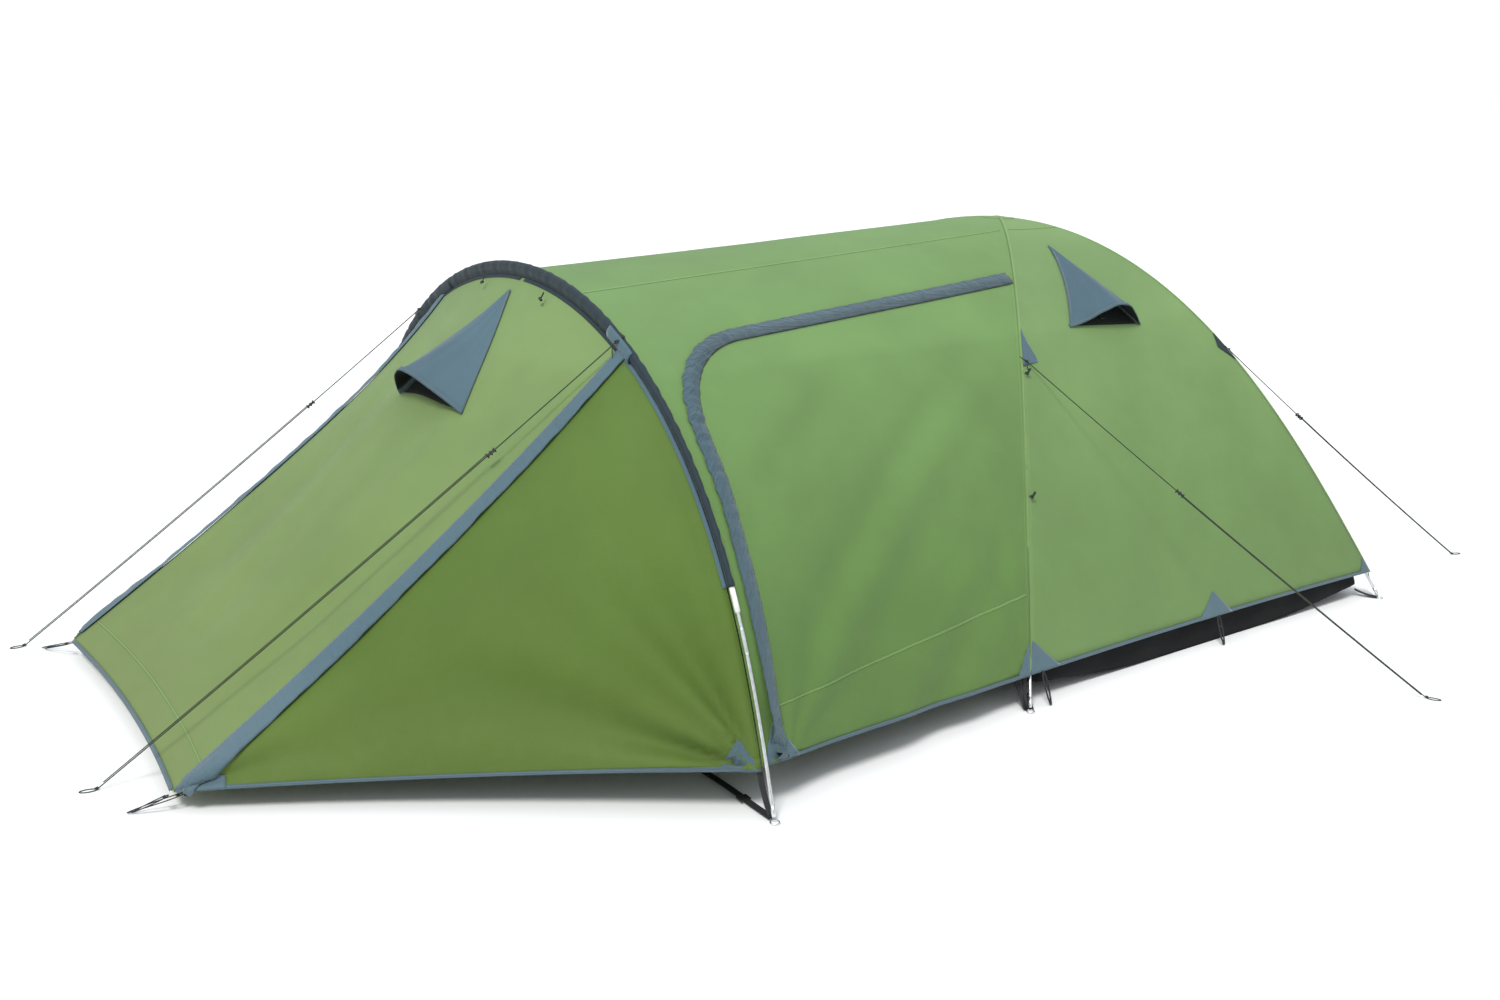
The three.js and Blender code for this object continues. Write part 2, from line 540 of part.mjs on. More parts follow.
// ---- Guy lines with their sliders ----
const GUY_R = 1.6;
const guyLines = [
  ['arch_near', archLeg(-1, 0.705, SLEEVE_R + 4), vec(-3235, -363, GUY_R), 0.26],
  ['arch_far', archLeg(1, 0.6, SLEEVE_R + 4), vec(-3214, 736, GUY_R), 0.3],
  ['side_near', flyLeg(-1, -1, 0.505), vec(201, -1748, GUY_R), 0.4],
  ['side_far', flyLeg(-1, 1, 0.505), vec(201, 1748, GUY_R), 0.4],
  ['rear_near', flyLeg(1, -1, 0.475), vec(1630, -962, GUY_R), 0.3],
  ['rear_far', flyLeg(1, 1, 0.475), vec(1630, 962, GUY_R), 0.3],
];
const GUY_START = 12;             // clear of the fly where each line begins
const GUY_STEPS = 8;
for (const [label, from, end, sliderAt] of guyLines) {
  const direction = end.clone().sub(from).normalize();
  const start = from.clone().addScaledVector(direction, GUY_START);
  const sagged = (k) => mix(start, end, k).add(vec(0, 0, -10 * bulge(k)));
  add(cords, `guy_${label}`, tubeAlong(sample(GUY_STEPS, sagged), GUY_R, GUY_STEPS), 'cord');
  const sliderShape = circleShape(7, 5.5, 8);
  sliderShape.holes.push(circleShape(GUY_R + 1.1, GUY_R + 1.1, 8));
  const slider = new THREE.ExtrudeGeometry(sliderShape, { depth: 30, bevelEnabled: false });
  slider.translate(0, 0, -15);
  const mesh = add(cords, `guy_slider_${label}`, slider, 'black');
  mesh.position.copy(sagged(sliderAt));
  const ahead = sagged(sliderAt + 0.01).sub(sagged(sliderAt - 0.01)).normalize();
  mesh.quaternion.setFromUnitVectors(vec(0, 0, 1), ahead);
}

// The tent stands on Z = 0 with its own box, without the guy lines, centred on the origin.
const box = new THREE.Box3().setFromObject(tent, true);
const centre = box.getCenter(vec(0, 0, 0));
const whole = new THREE.Group();
whole.add(tent, cords);
whole.position.set(-centre.x, -centre.y, -box.min.z);
whole.name = 'tent';

export default whole;
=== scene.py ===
import json
import math

import bmesh
import bpy
import numpy as np
from mathutils import Matrix, Vector
from mathutils.bvhtree import BVHTree


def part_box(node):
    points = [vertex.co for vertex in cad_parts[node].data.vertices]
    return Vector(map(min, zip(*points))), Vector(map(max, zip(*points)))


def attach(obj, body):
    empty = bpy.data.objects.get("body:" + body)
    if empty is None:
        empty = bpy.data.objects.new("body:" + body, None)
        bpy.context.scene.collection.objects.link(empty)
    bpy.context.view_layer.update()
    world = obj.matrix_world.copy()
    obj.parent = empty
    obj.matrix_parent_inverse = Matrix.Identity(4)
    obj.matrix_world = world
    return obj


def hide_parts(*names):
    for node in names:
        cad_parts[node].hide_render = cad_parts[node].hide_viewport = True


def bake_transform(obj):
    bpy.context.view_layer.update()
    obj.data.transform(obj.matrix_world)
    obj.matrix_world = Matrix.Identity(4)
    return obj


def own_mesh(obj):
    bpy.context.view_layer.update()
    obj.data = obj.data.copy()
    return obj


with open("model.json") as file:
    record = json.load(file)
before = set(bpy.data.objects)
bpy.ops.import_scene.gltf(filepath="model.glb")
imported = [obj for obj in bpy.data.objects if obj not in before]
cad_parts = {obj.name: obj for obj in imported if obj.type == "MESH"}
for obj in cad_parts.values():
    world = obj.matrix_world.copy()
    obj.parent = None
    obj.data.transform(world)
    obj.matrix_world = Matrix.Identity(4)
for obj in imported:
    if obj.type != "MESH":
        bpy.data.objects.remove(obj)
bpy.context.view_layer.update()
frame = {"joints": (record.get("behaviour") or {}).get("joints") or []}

# ---- Driving sizes, in metres; X is measured from the crossing of the dome poles ----
clip_lo, clip_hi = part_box("crossing_clip")
CROSS_X = (clip_lo[0] + clip_hi[0]) / 2
APEX_Z = 1.250
DOME_HALF_LENGTH = 0.900
FRONT_FOOT_Y = 1.210
REAR_FOOT_Y = 1.130
POLE_R = 0.0045
DOME_BEND = 0.76
ARCH_X = -1.910
ARCH_FOOT_Y = 1.370
ARCH_Z = 1.165
ARCH_LEAN = 0.030
ARCH_BEND = 1.31
SLEEVE_R = 0.013
SLEEVE_END_T = 0.3
FRONT_X = -3.110
FRONT_HALF = 0.570
FRONT_Z = 0.050
FRONT_BOW = 0.028
ZIP_TOP_T = 0.7
FLY_OUT = 0.018
FLY_UP = 0.016
HEM_T = 0.0475
HEM_SAG = 0.026
WING_HEM_T = 0.062
HEM_WIDTH = 0.009
DOOR_FRONT_U = 0.075
DOOR_TOP_T = 0.672
DOOR_ROUND_U = 0.17
DOOR_ROUND_T = 0.16
INNER_IN = 0.075
INNER_DOWN = 0.050
TUB_H = 0.120
CLOTH = 0.0012
SIDES = ((-1, "near"), (1, "far"))
ROOT = "tent_body"


def vec(*p):
    return np.array(p, float)


UP = vec(0, 0, 1)


def tunnel_hem(u):
    """The tunnel's hem drops a little towards the dome."""
    return 0.0665 - 0.0195 * np.asarray(u, float)


def unit(v):
    return v / np.maximum(np.linalg.norm(v, axis=-1, keepdims=True), 1e-12)


# ---- Camera ----
def make_camera():
    place = Vector((CROSS_X - 3.843, -3.993, 1.730))
    yaw, pitch, roll = 0.605, 0.273, 0.028
    forward = Vector((math.sin(yaw) * math.cos(pitch), math.cos(yaw) * math.cos(pitch), -math.sin(pitch)))
    level = Vector((math.cos(yaw), -math.sin(yaw), 0))
    above = level.cross(forward)
    right = level * math.cos(roll) + above * math.sin(roll)
    up = above * math.cos(roll) - level * math.sin(roll)
    data = bpy.data.cameras.new("camera")
    data.sensor_width = 36
    data.lens = 35.9568
    data.shift_x = 0.0044667
    data.shift_y = -0.0033333
    data.clip_end = 200
    cam = bpy.data.objects.new("camera", data)
    axes = Matrix((right, up, -forward)).transposed().to_4x4()
    cam.matrix_world = Matrix.Translation(place) @ axes
    bpy.context.collection.objects.link(cam)
    bpy.context.scene.camera = cam


make_camera()


# ---- Materials ----
WAVE_SCALE = 0.3142
RIPSTOP = 0.012
STITCH_PITCH = 0.0042
PLAIN = (1, 1, 1)
TRIM_CLOTH = {"sheen": 0.3, "painted_low_shade": PLAIN}
DUST = (0.42, 0.38, 0.30, 1)


def set_inputs(tree, made, inputs):
    """Give a node's inputs plain values, or link them to other nodes' outputs."""
    for key, value in inputs.items():
        if isinstance(value, bpy.types.NodeSocket):
            tree.links.new(value, made.inputs[key])
        else:
            made.inputs[key].default_value = value


def node(tree, kind, inputs, **settings):
    made = tree.nodes.new(kind)
    for key, value in settings.items():
        setattr(made, key, value)
    set_inputs(tree, made, inputs)
    return made


def maths(tree, operation, *values):
    return node(tree, "ShaderNodeMath", dict(enumerate(values)), operation=operation).outputs[0]


def noise(tree, point, scale, detail, rough=0.5, distortion=0.0):
    inputs = {"Vector": point, "Scale": scale, "Detail": detail, "Roughness": rough}
    inputs["Distortion"] = distortion
    return node(tree, "ShaderNodeTexNoise", inputs).outputs["Fac"]


def bump(tree, height, strength, distance, below=None):
    """A normal raised by height, on top of the normal below."""
    inputs = {"Height": height, "Strength": strength, "Distance": distance}
    if below is not None:
        inputs["Normal"] = below
    return node(tree, "ShaderNodeBump", inputs).outputs["Normal"]


def ramp(tree, factor, stops, interpolation="LINEAR"):
    made = node(tree, "ShaderNodeValToRGB", {"Fac": factor})
    made.color_ramp.interpolation = interpolation
    for element, (position, colour) in zip(made.color_ramp.elements, stops):
        element.position = position
        element.color = (*colour, 1)
    return made.outputs["Color"]


def spread(tree, factor, low, high, end=1.0):
    """A factor from 0 to end turned into a value from low to high."""
    inputs = {"Value": factor, "From Min": 0.0, "From Max": end, "To Min": low, "To Max": high}
    return node(tree, "ShaderNodeMapRange", inputs).outputs["Result"]


def mixed(tree, factor, a, b, blend="MIX"):
    inputs = {"Factor": factor, "A": a, "B": b}
    return node(tree, "ShaderNodeMix", inputs, data_type="RGBA", blend_type=blend).outputs["Result"]


def drifting(tree, point, colour, scale, strength):
    """A colour that drifts a little lighter and darker over the surface."""
    gains = ((0.35, 1 - strength), (0.65, 1 + strength))
    stops = [(position, [min(1, c * gain) for c in colour]) for position, gain in gains]
    return ramp(tree, noise(tree, point, scale, 4.0, 0.6), stops)


def stitching(tree, uv, rows):
    """Dashes of thread along the strip at each distance in rows from its edge, as a mask."""
    split = node(tree, "ShaderNodeSeparateXYZ", {0: uv})
    along = maths(tree, "FRACT", maths(tree, "DIVIDE", split.outputs["X"], STITCH_PITCH))
    lines = 0.0
    for row in rows:
        away = maths(tree, "ABSOLUTE", maths(tree, "SUBTRACT", split.outputs["Y"], row))
        lines = maths(tree, "MAXIMUM", lines, maths(tree, "LESS_THAN", away, 0.0006))
    return maths(tree, "MULTIPLY", maths(tree, "LESS_THAN", along, 0.62), lines)


def material(name, look, settings):
    """A node material: look gives its linked inputs, and settings holds the uniform ones."""
    mat = bpy.data.materials.new(name)
    mat.use_nodes = True
    tree = mat.node_tree
    shader = tree.nodes["Principled BSDF"]
    coords = tree.nodes.new("ShaderNodeTexCoord")
    set_inputs(tree, shader, settings)
    set_inputs(tree, shader, look(tree, coords.outputs["Object"], coords.outputs["UV"]))
    return mat


def fabric(name, colour, weave=0.0016, rough=0.62, sheen=0.10, variation=0.07, dust=0.10,
           painted_low_shade=(0.74, 0.77, 0.60), stitch_rows=(), gather=0.0):
    """Woven coated cloth: fine weave, a ripstop grid, drifting colour, painted shade towards the ground, and
    dust near the ground.
    """
    def look(tree, point, uv):
        threads = 0.0
        for period, sharpness in ((weave, 1.0), (RIPSTOP, 24.0)):
            for direction in ("X", "Y"):
                inputs = {"Vector": uv, "Scale": WAVE_SCALE / period}
                wave = node(tree, "ShaderNodeTexWave", inputs, bands_direction=direction)
                threads = maths(tree, "ADD", threads, maths(tree, "POWER", wave.outputs["Fac"], sharpness))
        crease = noise(tree, point, 9.0, 5.0, 0.62)
        normal = bump(tree, threads, 0.35, 0.0004, bump(tree, crease, 0.22, 0.006))
        if gather:
            # Short wrinkles across a strip that was eased on to a curved seam.
            stretched = node(tree, "ShaderNodeMapping", {"Vector": uv, "Scale": (58, 11, 1)})
            puckers = noise(tree, stretched.outputs["Vector"], 1.0, 3.0, 0.55, 0.6)
            normal = bump(tree, puckers, 0.9, gather, normal)
        # Painted shade that darkens and tints the cloth towards the ground, then dust and scuffs, strongest
        # along the hem.
        height = node(tree, "ShaderNodeSeparateXYZ", {0: point}).outputs["Z"]
        painted_shade = ramp(tree, height, ((0.0, painted_low_shade), (0.95, (1, 1, 1))), "B_SPLINE")
        shade = mixed(tree, 1.0, drifting(tree, point, colour, 2.2, variation), painted_shade, "MULTIPLY")
        near_ground = spread(tree, height, dust, 0.0, 0.35)
        specks = noise(tree, point, 26.0, 6.0, 0.7)
        shade = mixed(tree, maths(tree, "MULTIPLY", near_ground, specks), shade, DUST)
        if stitch_rows:
            thread = (*[min(1, 1.9 * c + 0.02) for c in colour], 1)
            shade = mixed(tree, stitching(tree, uv, stitch_rows), shade, thread)
        uneven = spread(tree, crease, rough - 0.08, rough + 0.10)
        return {"Normal": normal, "Base Color": shade, "Roughness": uneven}
    return material(name, look, {"Sheen Weight": sheen, "Sheen Roughness": 0.4, "Specular IOR Level": 0.22})


def webbing(name, colour, period=0.0022):
    """Woven tape with a slanted rib."""
    def look(tree, point, uv):
        inputs = {"Vector": uv, "Scale": WAVE_SCALE / period, "Distortion": 0.4}
        wave = node(tree, "ShaderNodeTexWave", inputs, bands_direction="DIAGONAL")
        return {"Normal": bump(tree, wave.outputs["Fac"], 0.6, 0.0006),
                "Base Color": drifting(tree, point, colour, 30.0, 0.25)}
    return material(name, look, {"Roughness": 0.75})


def metal(name, colour):
    """Anodised tube, lightly scuffed."""
    def look(tree, point, uv):
        return {"Roughness": spread(tree, noise(tree, point, 400.0, 3.0), 0.20, 0.44),
                "Base Color": drifting(tree, point, colour, 60.0, 0.10)}
    return material(name, look, {"Metallic": 0.95})


def plastic(name, colour, rough=0.45):
    """Moulded plastic with a fine grain."""
    def look(tree, point, uv):
        return {"Normal": bump(tree, noise(tree, point, 900.0, 2.0), 0.25, 0.0003),
                "Base Color": drifting(tree, point, colour, 45.0, 0.18)}
    return material(name, look, {"Roughness": rough})


MAT = {
    "fly": fabric("fly cloth", (0.178, 0.290, 0.108), painted_low_shade=(0.62, 0.67, 0.52)),
    "front": fabric("front cloth", (0.176, 0.266, 0.098), painted_low_shade=(0.82, 0.76, 0.58)),
    # The tunnel cloth is painted darker than the fly cloth, and its low shade is the strongest: painted
    # shade for the roof behind the arch and the strip below it.
    "tunnel": fabric("tunnel cloth", (0.158, 0.276, 0.094), painted_low_shade=(0.46, 0.53, 0.28)),
    "wing": fabric("wing cloth", (0.091, 0.161, 0.032), painted_low_shade=(0.88, 0.84, 0.50)),
    "seam": fabric("seam tape", (0.180, 0.290, 0.105), rough=0.6, painted_low_shade=(0.6, 0.66, 0.46),
                   stitch_rows=(0.0012, 0.0062)),
    "trim": fabric("trim cloth", (0.070, 0.125, 0.160), rough=0.6, variation=0.10, **TRIM_CLOTH),
    "flap": fabric("storm flap cloth", (0.066, 0.116, 0.145), rough=0.6, gather=0.014, **TRIM_CLOTH),
    "zip_flap": fabric("zip flap cloth", (0.078, 0.135, 0.168), rough=0.6, gather=0.006, **TRIM_CLOTH),
    "hem": fabric("hem tape", (0.062, 0.105, 0.130), rough=0.65, stitch_rows=(0.0022, 0.0068), **TRIM_CLOTH),
    "sleeve": fabric("sleeve cloth", (0.020, 0.033, 0.042), rough=0.6, variation=0.12, painted_low_shade=PLAIN),
    "floor": fabric("floor cloth", (0.007, 0.007, 0.008), weave=0.003, rough=0.8, sheen=0.0, dust=0.01,
                    painted_low_shade=PLAIN),
    "inner": fabric("inner cloth", (0.42, 0.44, 0.41), rough=0.75, sheen=0.4, dust=0.02),
    "net": fabric("vent mesh", (0.008, 0.011, 0.009), weave=0.003, rough=0.85, sheen=0.05, dust=0.0),
    "strap": webbing("black webbing", (0.016, 0.017, 0.018)),
    "prop": webbing("green webbing", (0.30, 0.36, 0.05)),
    "elastic": webbing("elastic cord", (0.025, 0.026, 0.028), period=0.0012),
    "guy": webbing("guy cord", (0.030, 0.038, 0.022), period=0.0014),
    "pole": metal("pole metal", (0.78, 0.79, 0.80)),
    "white": plastic("white sleeve", (0.78, 0.78, 0.75), rough=0.4),
    "black": plastic("black plastic", (0.014, 0.015, 0.016)),
}


# ---- Mesh helpers ----
def finish_mesh(name, verts, faces, kind, body=ROOT, uvs=None):
    mesh = bpy.data.meshes.new(name)
    mesh.from_pydata([tuple(v) for v in verts], [], faces)
    if uvs is not None:
        layer = mesh.uv_layers.new(name="UVMap")
        corners = np.empty(len(mesh.loops), np.int64)
        mesh.loops.foreach_get("vertex_index", corners)
        layer.data.foreach_set("uv", np.asarray(uvs, np.float32)[corners].ravel())
    for polygon in mesh.polygons:
        polygon.use_smooth = True
    mesh.materials.append(MAT[kind])
    obj = bpy.data.objects.new(name, mesh)
    bpy.context.collection.objects.link(obj)
    if body is not None:
        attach(obj, body)
    return obj


def grid_uv(points):
    """Distances along both directions of a grid, in metres."""
    du = np.linalg.norm(np.diff(points, axis=0), axis=2)
    dv = np.linalg.norm(np.diff(points, axis=1), axis=2)
    u = np.concatenate([np.zeros((1, points.shape[1])), np.cumsum(du, axis=0)])
    v = np.concatenate([np.zeros((points.shape[0], 1)), np.cumsum(dv, axis=1)], axis=1)
    return u, v


def grid_normals(points):
    return unit(np.cross(np.gradient(points, axis=0), np.gradient(points, axis=1)))


def cloth(name, points, kind, body=ROOT, outward=None, thick=CLOTH, mask=None):
    """A closed thin sheet over a grid of points whose face turns outward."""
    nu, nv = points.shape[0] - 1, points.shape[1] - 1
    normals = grid_normals(points)
    flip = outward is not None and float((normals * outward).sum(-1).mean()) < 0
    if flip:
        normals = -normals
    count = (nu + 1) * (nv + 1)
    index = np.arange(count).reshape(nu + 1, nv + 1)
    verts = np.concatenate([points.reshape(-1, 3), (points - normals * thick).reshape(-1, 3)])
    keep = np.ones((nu, nv), bool) if mask is None else mask
    faces = []
    inside = np.zeros((nu + 2, nv + 2), bool)
    inside[1:-1, 1:-1] = keep
    for i, j in zip(*np.nonzero(keep)):
        a, b, c, d = (int(index[i, j]), int(index[i + 1, j]), int(index[i + 1, j + 1]), int(index[i, j + 1]))
        quad = (d, c, b, a) if flip else (a, b, c, d)
        faces.append(quad)
        faces.append(tuple(count + k for k in reversed(quad)))
        neighbours = ((a, b, i + 1, j), (b, c, i + 2, j + 1), (c, d, i + 1, j + 2), (d, a, i, j + 1))
        for p, q, x, y in neighbours:
            if not inside[x, y]:
                wall = (q, p, count + p, count + q)
                faces.append(tuple(reversed(wall)) if flip else wall)
    u, v = grid_uv(points)
    uvs = np.stack([u.ravel(), v.ravel()], 1)
    uvs = np.concatenate([uvs, uvs])
    if mask is not None:
        used = sorted({k for f in faces for k in f})
        renumber = {k: n for n, k in enumerate(used)}
        faces = [tuple(renumber[k] for k in f) for f in faces]
        verts, uvs = verts[used], uvs[used]
    obj = finish_mesh(name, verts, faces, kind, body, uvs)
    quads = points[:-1, :-1], points[1:, :-1], points[1:, 1:], points[:-1, 1:]
    area = np.linalg.norm(np.cross(quads[2] - quads[0], quads[3] - quads[1]), axis=-1) / 2
    width = float(np.linalg.norm(np.diff(points, axis=0), axis=2).sum(0).max())
    length = float(np.linalg.norm(np.diff(points, axis=1), axis=2).sum(1).max())
    obj["cut"] = [width, length, float(area[keep].sum())]
    return obj


LEAST_AREA_SHARE = 0.31


def as_sheet(obj):
    width, length, area = obj["cut"]
    area = float(np.clip(area, LEAST_AREA_SHARE * width * length, width * length))


def distances(path):
    """How far along a path each of its points lies."""
    return np.concatenate([[0], np.cumsum(np.linalg.norm(np.diff(path, axis=0), axis=1))])


def at_distances(path, wanted):
    known = distances(path)
    return np.stack([np.interp(wanted, known, path[:, c]) for c in range(3)], 1)


def around(count):
    """Even angles once around a circle."""
    return np.linspace(0, 2 * math.pi, count, endpoint=False)


def ellipse(centre, half_a, half_b, count):
    """A closed ring of points, from its two half-axes as vectors."""
    a = around(count)[:, None]
    return centre + np.cos(a) * half_a + np.sin(a) * half_b


def long_loop(start, end, across, width, taper, count):
    """A narrow closed loop from start to end, a little wider towards its start."""
    a = around(count)
    sideways = np.sin(a) * (width + taper * np.cos(a))
    return (start + end) / 2 - np.cos(a)[:, None] * (end - start) / 2 + sideways[:, None] * across


def cad_box(name):
    """The centre and the size of a CAD node's box."""
    lo, hi = (vec(*corner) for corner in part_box(name))
    return (lo + hi) / 2, hi - lo


def path_frames(points):
    """Directions square to a path, carried along it without twisting."""
    tangent = unit(np.gradient(points, axis=0))
    first = UP if abs(tangent[0][2]) < 0.9 else vec(1, 0, 0)
    side = unit(np.cross(tangent[0], first))
    sides = []
    for t in tangent:
        side = unit(side - t * side.dot(t))
        sides.append(side)
    sides = np.array(sides)
    return sides, np.cross(tangent, sides)


def tube(name, points, radius, kind, body=ROOT, sides=12, closed=False):
    """A round tube along points, capped unless it closes on itself."""
    points = np.asarray(points, float)
    side, up = path_frames(points)
    radii = np.broadcast_to(radius, len(points))
    angles = around(sides)
    turn = angles[None, :, None]
    ring = np.cos(turn) * side[:, None] + np.sin(turn) * up[:, None]
    verts = (points[:, None] + ring * radii[:, None, None]).reshape(-1, 3)
    faces = []
    rows = len(points)
    for i in range(rows if closed else rows - 1):
        for k in range(sides):
            a, b = i * sides + k, i * sides + (k + 1) % sides
            c, d = (b + sides) % (rows * sides), (a + sides) % (rows * sides)
            faces.append((a, b, c, d))
    if not closed:
        faces.append(tuple(reversed(range(sides))))
        faces.append(tuple(range((rows - 1) * sides, rows * sides)))
    uv = np.stack([np.repeat(distances(points), sides), np.tile(angles * float(radii.mean()), rows)], 1)
    return finish_mesh(name, verts, faces, kind, body, uv)


def hardware(name, size, bevel, kind, at, across, up, body=ROOT):
    """A block with rounded edges, whose X lies across and Z lies up."""
    x = unit(vec(*across))
    z = unit(vec(*up) - x * vec(*up).dot(x))
    y = np.cross(z, x)
    bm = bmesh.new()
    bmesh.ops.create_cube(bm, size=1)
    bmesh.ops.scale(bm, vec=size, verts=bm.verts)
    bmesh.ops.bevel(bm, geom=bm.edges[:], offset=bevel, segments=3, profile=0.6, affect="EDGES")
    axes = np.stack([x, y, z], 1)
    verts = [axes @ np.array(v.co) + vec(*at) for v in bm.verts]
    faces = [tuple(v.index for v in f.verts) for f in bm.faces]
    bm.free()
    return finish_mesh(name, verts, faces, kind, body)


def joined(name, pieces, kind, body=ROOT):
    """One piece from several that share a material and a body."""
    verts, faces, uvs = [], [], []
    for obj in pieces:
        base = len(verts)
        verts += [tuple(v.co) for v in obj.data.vertices]
        faces += [tuple(base + k for k in p.vertices) for p in obj.data.polygons]
        found = np.zeros((len(obj.data.vertices), 2))
        if obj.data.uv_layers:
            for loop, uv in zip(obj.data.loops, obj.data.uv_layers[0].data):
                found[loop.vertex_index] = uv.uv
        uvs += found.tolist()
        bpy.data.objects.remove(obj)
    return finish_mesh(name, verts, faces, kind, body, np.array(uvs))


# ---- Curves and surfaces of the pitched tent ----
def rod_shape(end_angle):
    """How far out a rod bent between its feet stands: 1 at a foot, 0 at the top."""
    m = math.sin(end_angle / 2) ** 2
    steps = 240
    phi = (np.arange(steps) + 0.5) / steps * math.pi / 2
    root = np.sqrt(1 - m * np.sin(phi) ** 2)
    sums = np.concatenate([[0], np.cumsum(2 * root - 1 / root)])
    return lambda t: np.interp((1 - np.asarray(t, float)) * steps, np.arange(steps + 1), sums) / sums[-1]


dome_shape = rod_shape(DOME_BEND)
arch_shape = rod_shape(ARCH_BEND)


def rise(t):
    """How high a bent pole stands at t, from 0 at its foot to 1 at its top."""
    return np.sin(math.pi / 2 * np.asarray(t, float))


def dome_leg(sx, sy, t, out=0.0, up=0.0):
    foot = vec(sx * DOME_HALF_LENGTH, sy * (FRONT_FOOT_Y if sx < 0 else REAR_FOOT_Y))
    foot = foot * (1 + out / np.linalg.norm(foot))
    across = dome_shape(t)
    return np.stack([CROSS_X + foot[0] * across, foot[1] * across, (APEX_Z + up) * rise(t)], -1)


def arch_leg(sy, t, out=0.0):
    z = rise(t)
    x = CROSS_X + ARCH_X + ARCH_LEAN * z
    return np.stack([x, sy * (ARCH_FOOT_Y + out) * arch_shape(t), (ARCH_Z + out) * z], -1)


def fly_leg(sx, sy, t):
    return dome_leg(sx, sy, t, FLY_OUT, FLY_UP)


def inner_leg(sx, sy, t):
    return dome_leg(sx, sy, t, -INNER_IN, -INNER_DOWN)


def arch_seam(sy, t):
    return arch_leg(sy, t, -(SLEEVE_R + 0.006))


def bulge(k):
    """0 at both ends of a span and 1 at its middle."""
    return 4 * k * (1 - k)


def mix(a, b, k):
    k = np.asarray(k)[..., None]
    return a * (1 - k) + b * k


def relief(points, seed, size):
    """Soft uneven sag of cloth, made of a few long waves."""
    rng = np.random.default_rng(seed)
    total = np.zeros(points.shape[:-1])
    for length in (0.9, 0.55, 0.34, 0.21):
        wave = unit(rng.normal(size=3)) * (2 * math.pi / length)
        total = total + np.sin(points @ wave + rng.uniform(0, 6.3)) * length
    return total * size


def fan(points, corner, axis_a, axis_b, reach, count, size, phase):
    """Tension folds that run out from a pegged corner."""
    away = points - vec(*corner)
    distance = np.linalg.norm(away, axis=-1)
    angle = np.arctan2(away @ unit(vec(*axis_b)), away @ unit(vec(*axis_a)))
    rise_in = 1 - np.exp(-distance / 0.05)
    return np.sin(count * angle + phase) * size * rise_in * np.exp(-distance / reach)


EDGE_MARGIN = 0.05


def creases(p, free, taut, seed, slack, folds):
    """Uneven slack where a panel is free, and folds fanning from pegged corners where it is taut.

    folds holds (corner, one direction, the other, reach, count, size, phase)."""
    wave = relief(p, seed, slack) * free
    for corner, axis_a, axis_b, reach, count, size, phase in folds:
        wave = wave + fan(p, corner, axis_a, axis_b, reach, count, size, phase) * taut
    return wave


def puckers(place, rng, waves):
    """Short waves along a strip, as (length, size), each with its own random start."""
    return sum(np.sin(place * 2 * math.pi / w + rng.uniform(0, 6.3)) * size for w, size in waves)


def near_edges(k):
    """1 inside a panel, falling to 0 at its two sewn edges."""
    return np.clip(k / EDGE_MARGIN, 0, 1) * np.clip((1 - k) / EDGE_MARGIN, 0, 1)


def broad(u, t):
    return np.broadcast_arrays(np.asarray(u, float), np.asarray(t, float))


def dome_surface(foot_a, foot_b, out, pull, seed, slack, folds):
    """A dome panel between two pole legs, with the folds that creases takes."""
    def surface(u, t):
        u, t = broad(u, t)
        p = mix(fly_leg(*foot_a, t), fly_leg(*foot_b, t), u)
        edge = bulge(u) * np.clip((1 - t) * 3, 0, 1)
        p = p + pull * (bulge(u) * HEM_SAG * rise(1 - t))[..., None]
        p = p + UP * (0.012 * bulge(u) * (1 - t) ** 6)[..., None]
        return p - pull * creases(p, edge, edge, seed, slack, folds)[..., None]
    surface.out = out
    return surface


def side_surface(sy):
    folds = (((CROSS_X - 0.86, sy * 1.16, 0.1), (1, 0, 0), UP, 0.30, 9, 0.0035, 0),
             ((CROSS_X + 0.86, sy * 1.09, 0.1), (-1, 0, 0), UP, 0.30, 9, 0.0035, 0),
             ((CROSS_X - 0.46, sy * 0.62, 0.92), (1, 0, 0), UP, 0.22, 8, 0.003, 0))
    out, pull = vec(0, sy * 0.8, 0.55), vec(0, -sy * 0.85, -0.5)
    return dome_surface((-1, sy), (1, sy), out, pull, 11, 0.0045, folds)


rear_folds = [((CROSS_X + 0.87, sy * 1.08, 0.1), (0, -sy, 0), UP, 0.3, 9, 0.004, 0) for sy in (-1, 1)]
rear_surface = dome_surface((1, -1), (1, 1), vec(0.8, 0, 0.5), vec(-0.8, 0, -0.5), 23, 0.005, rear_folds)


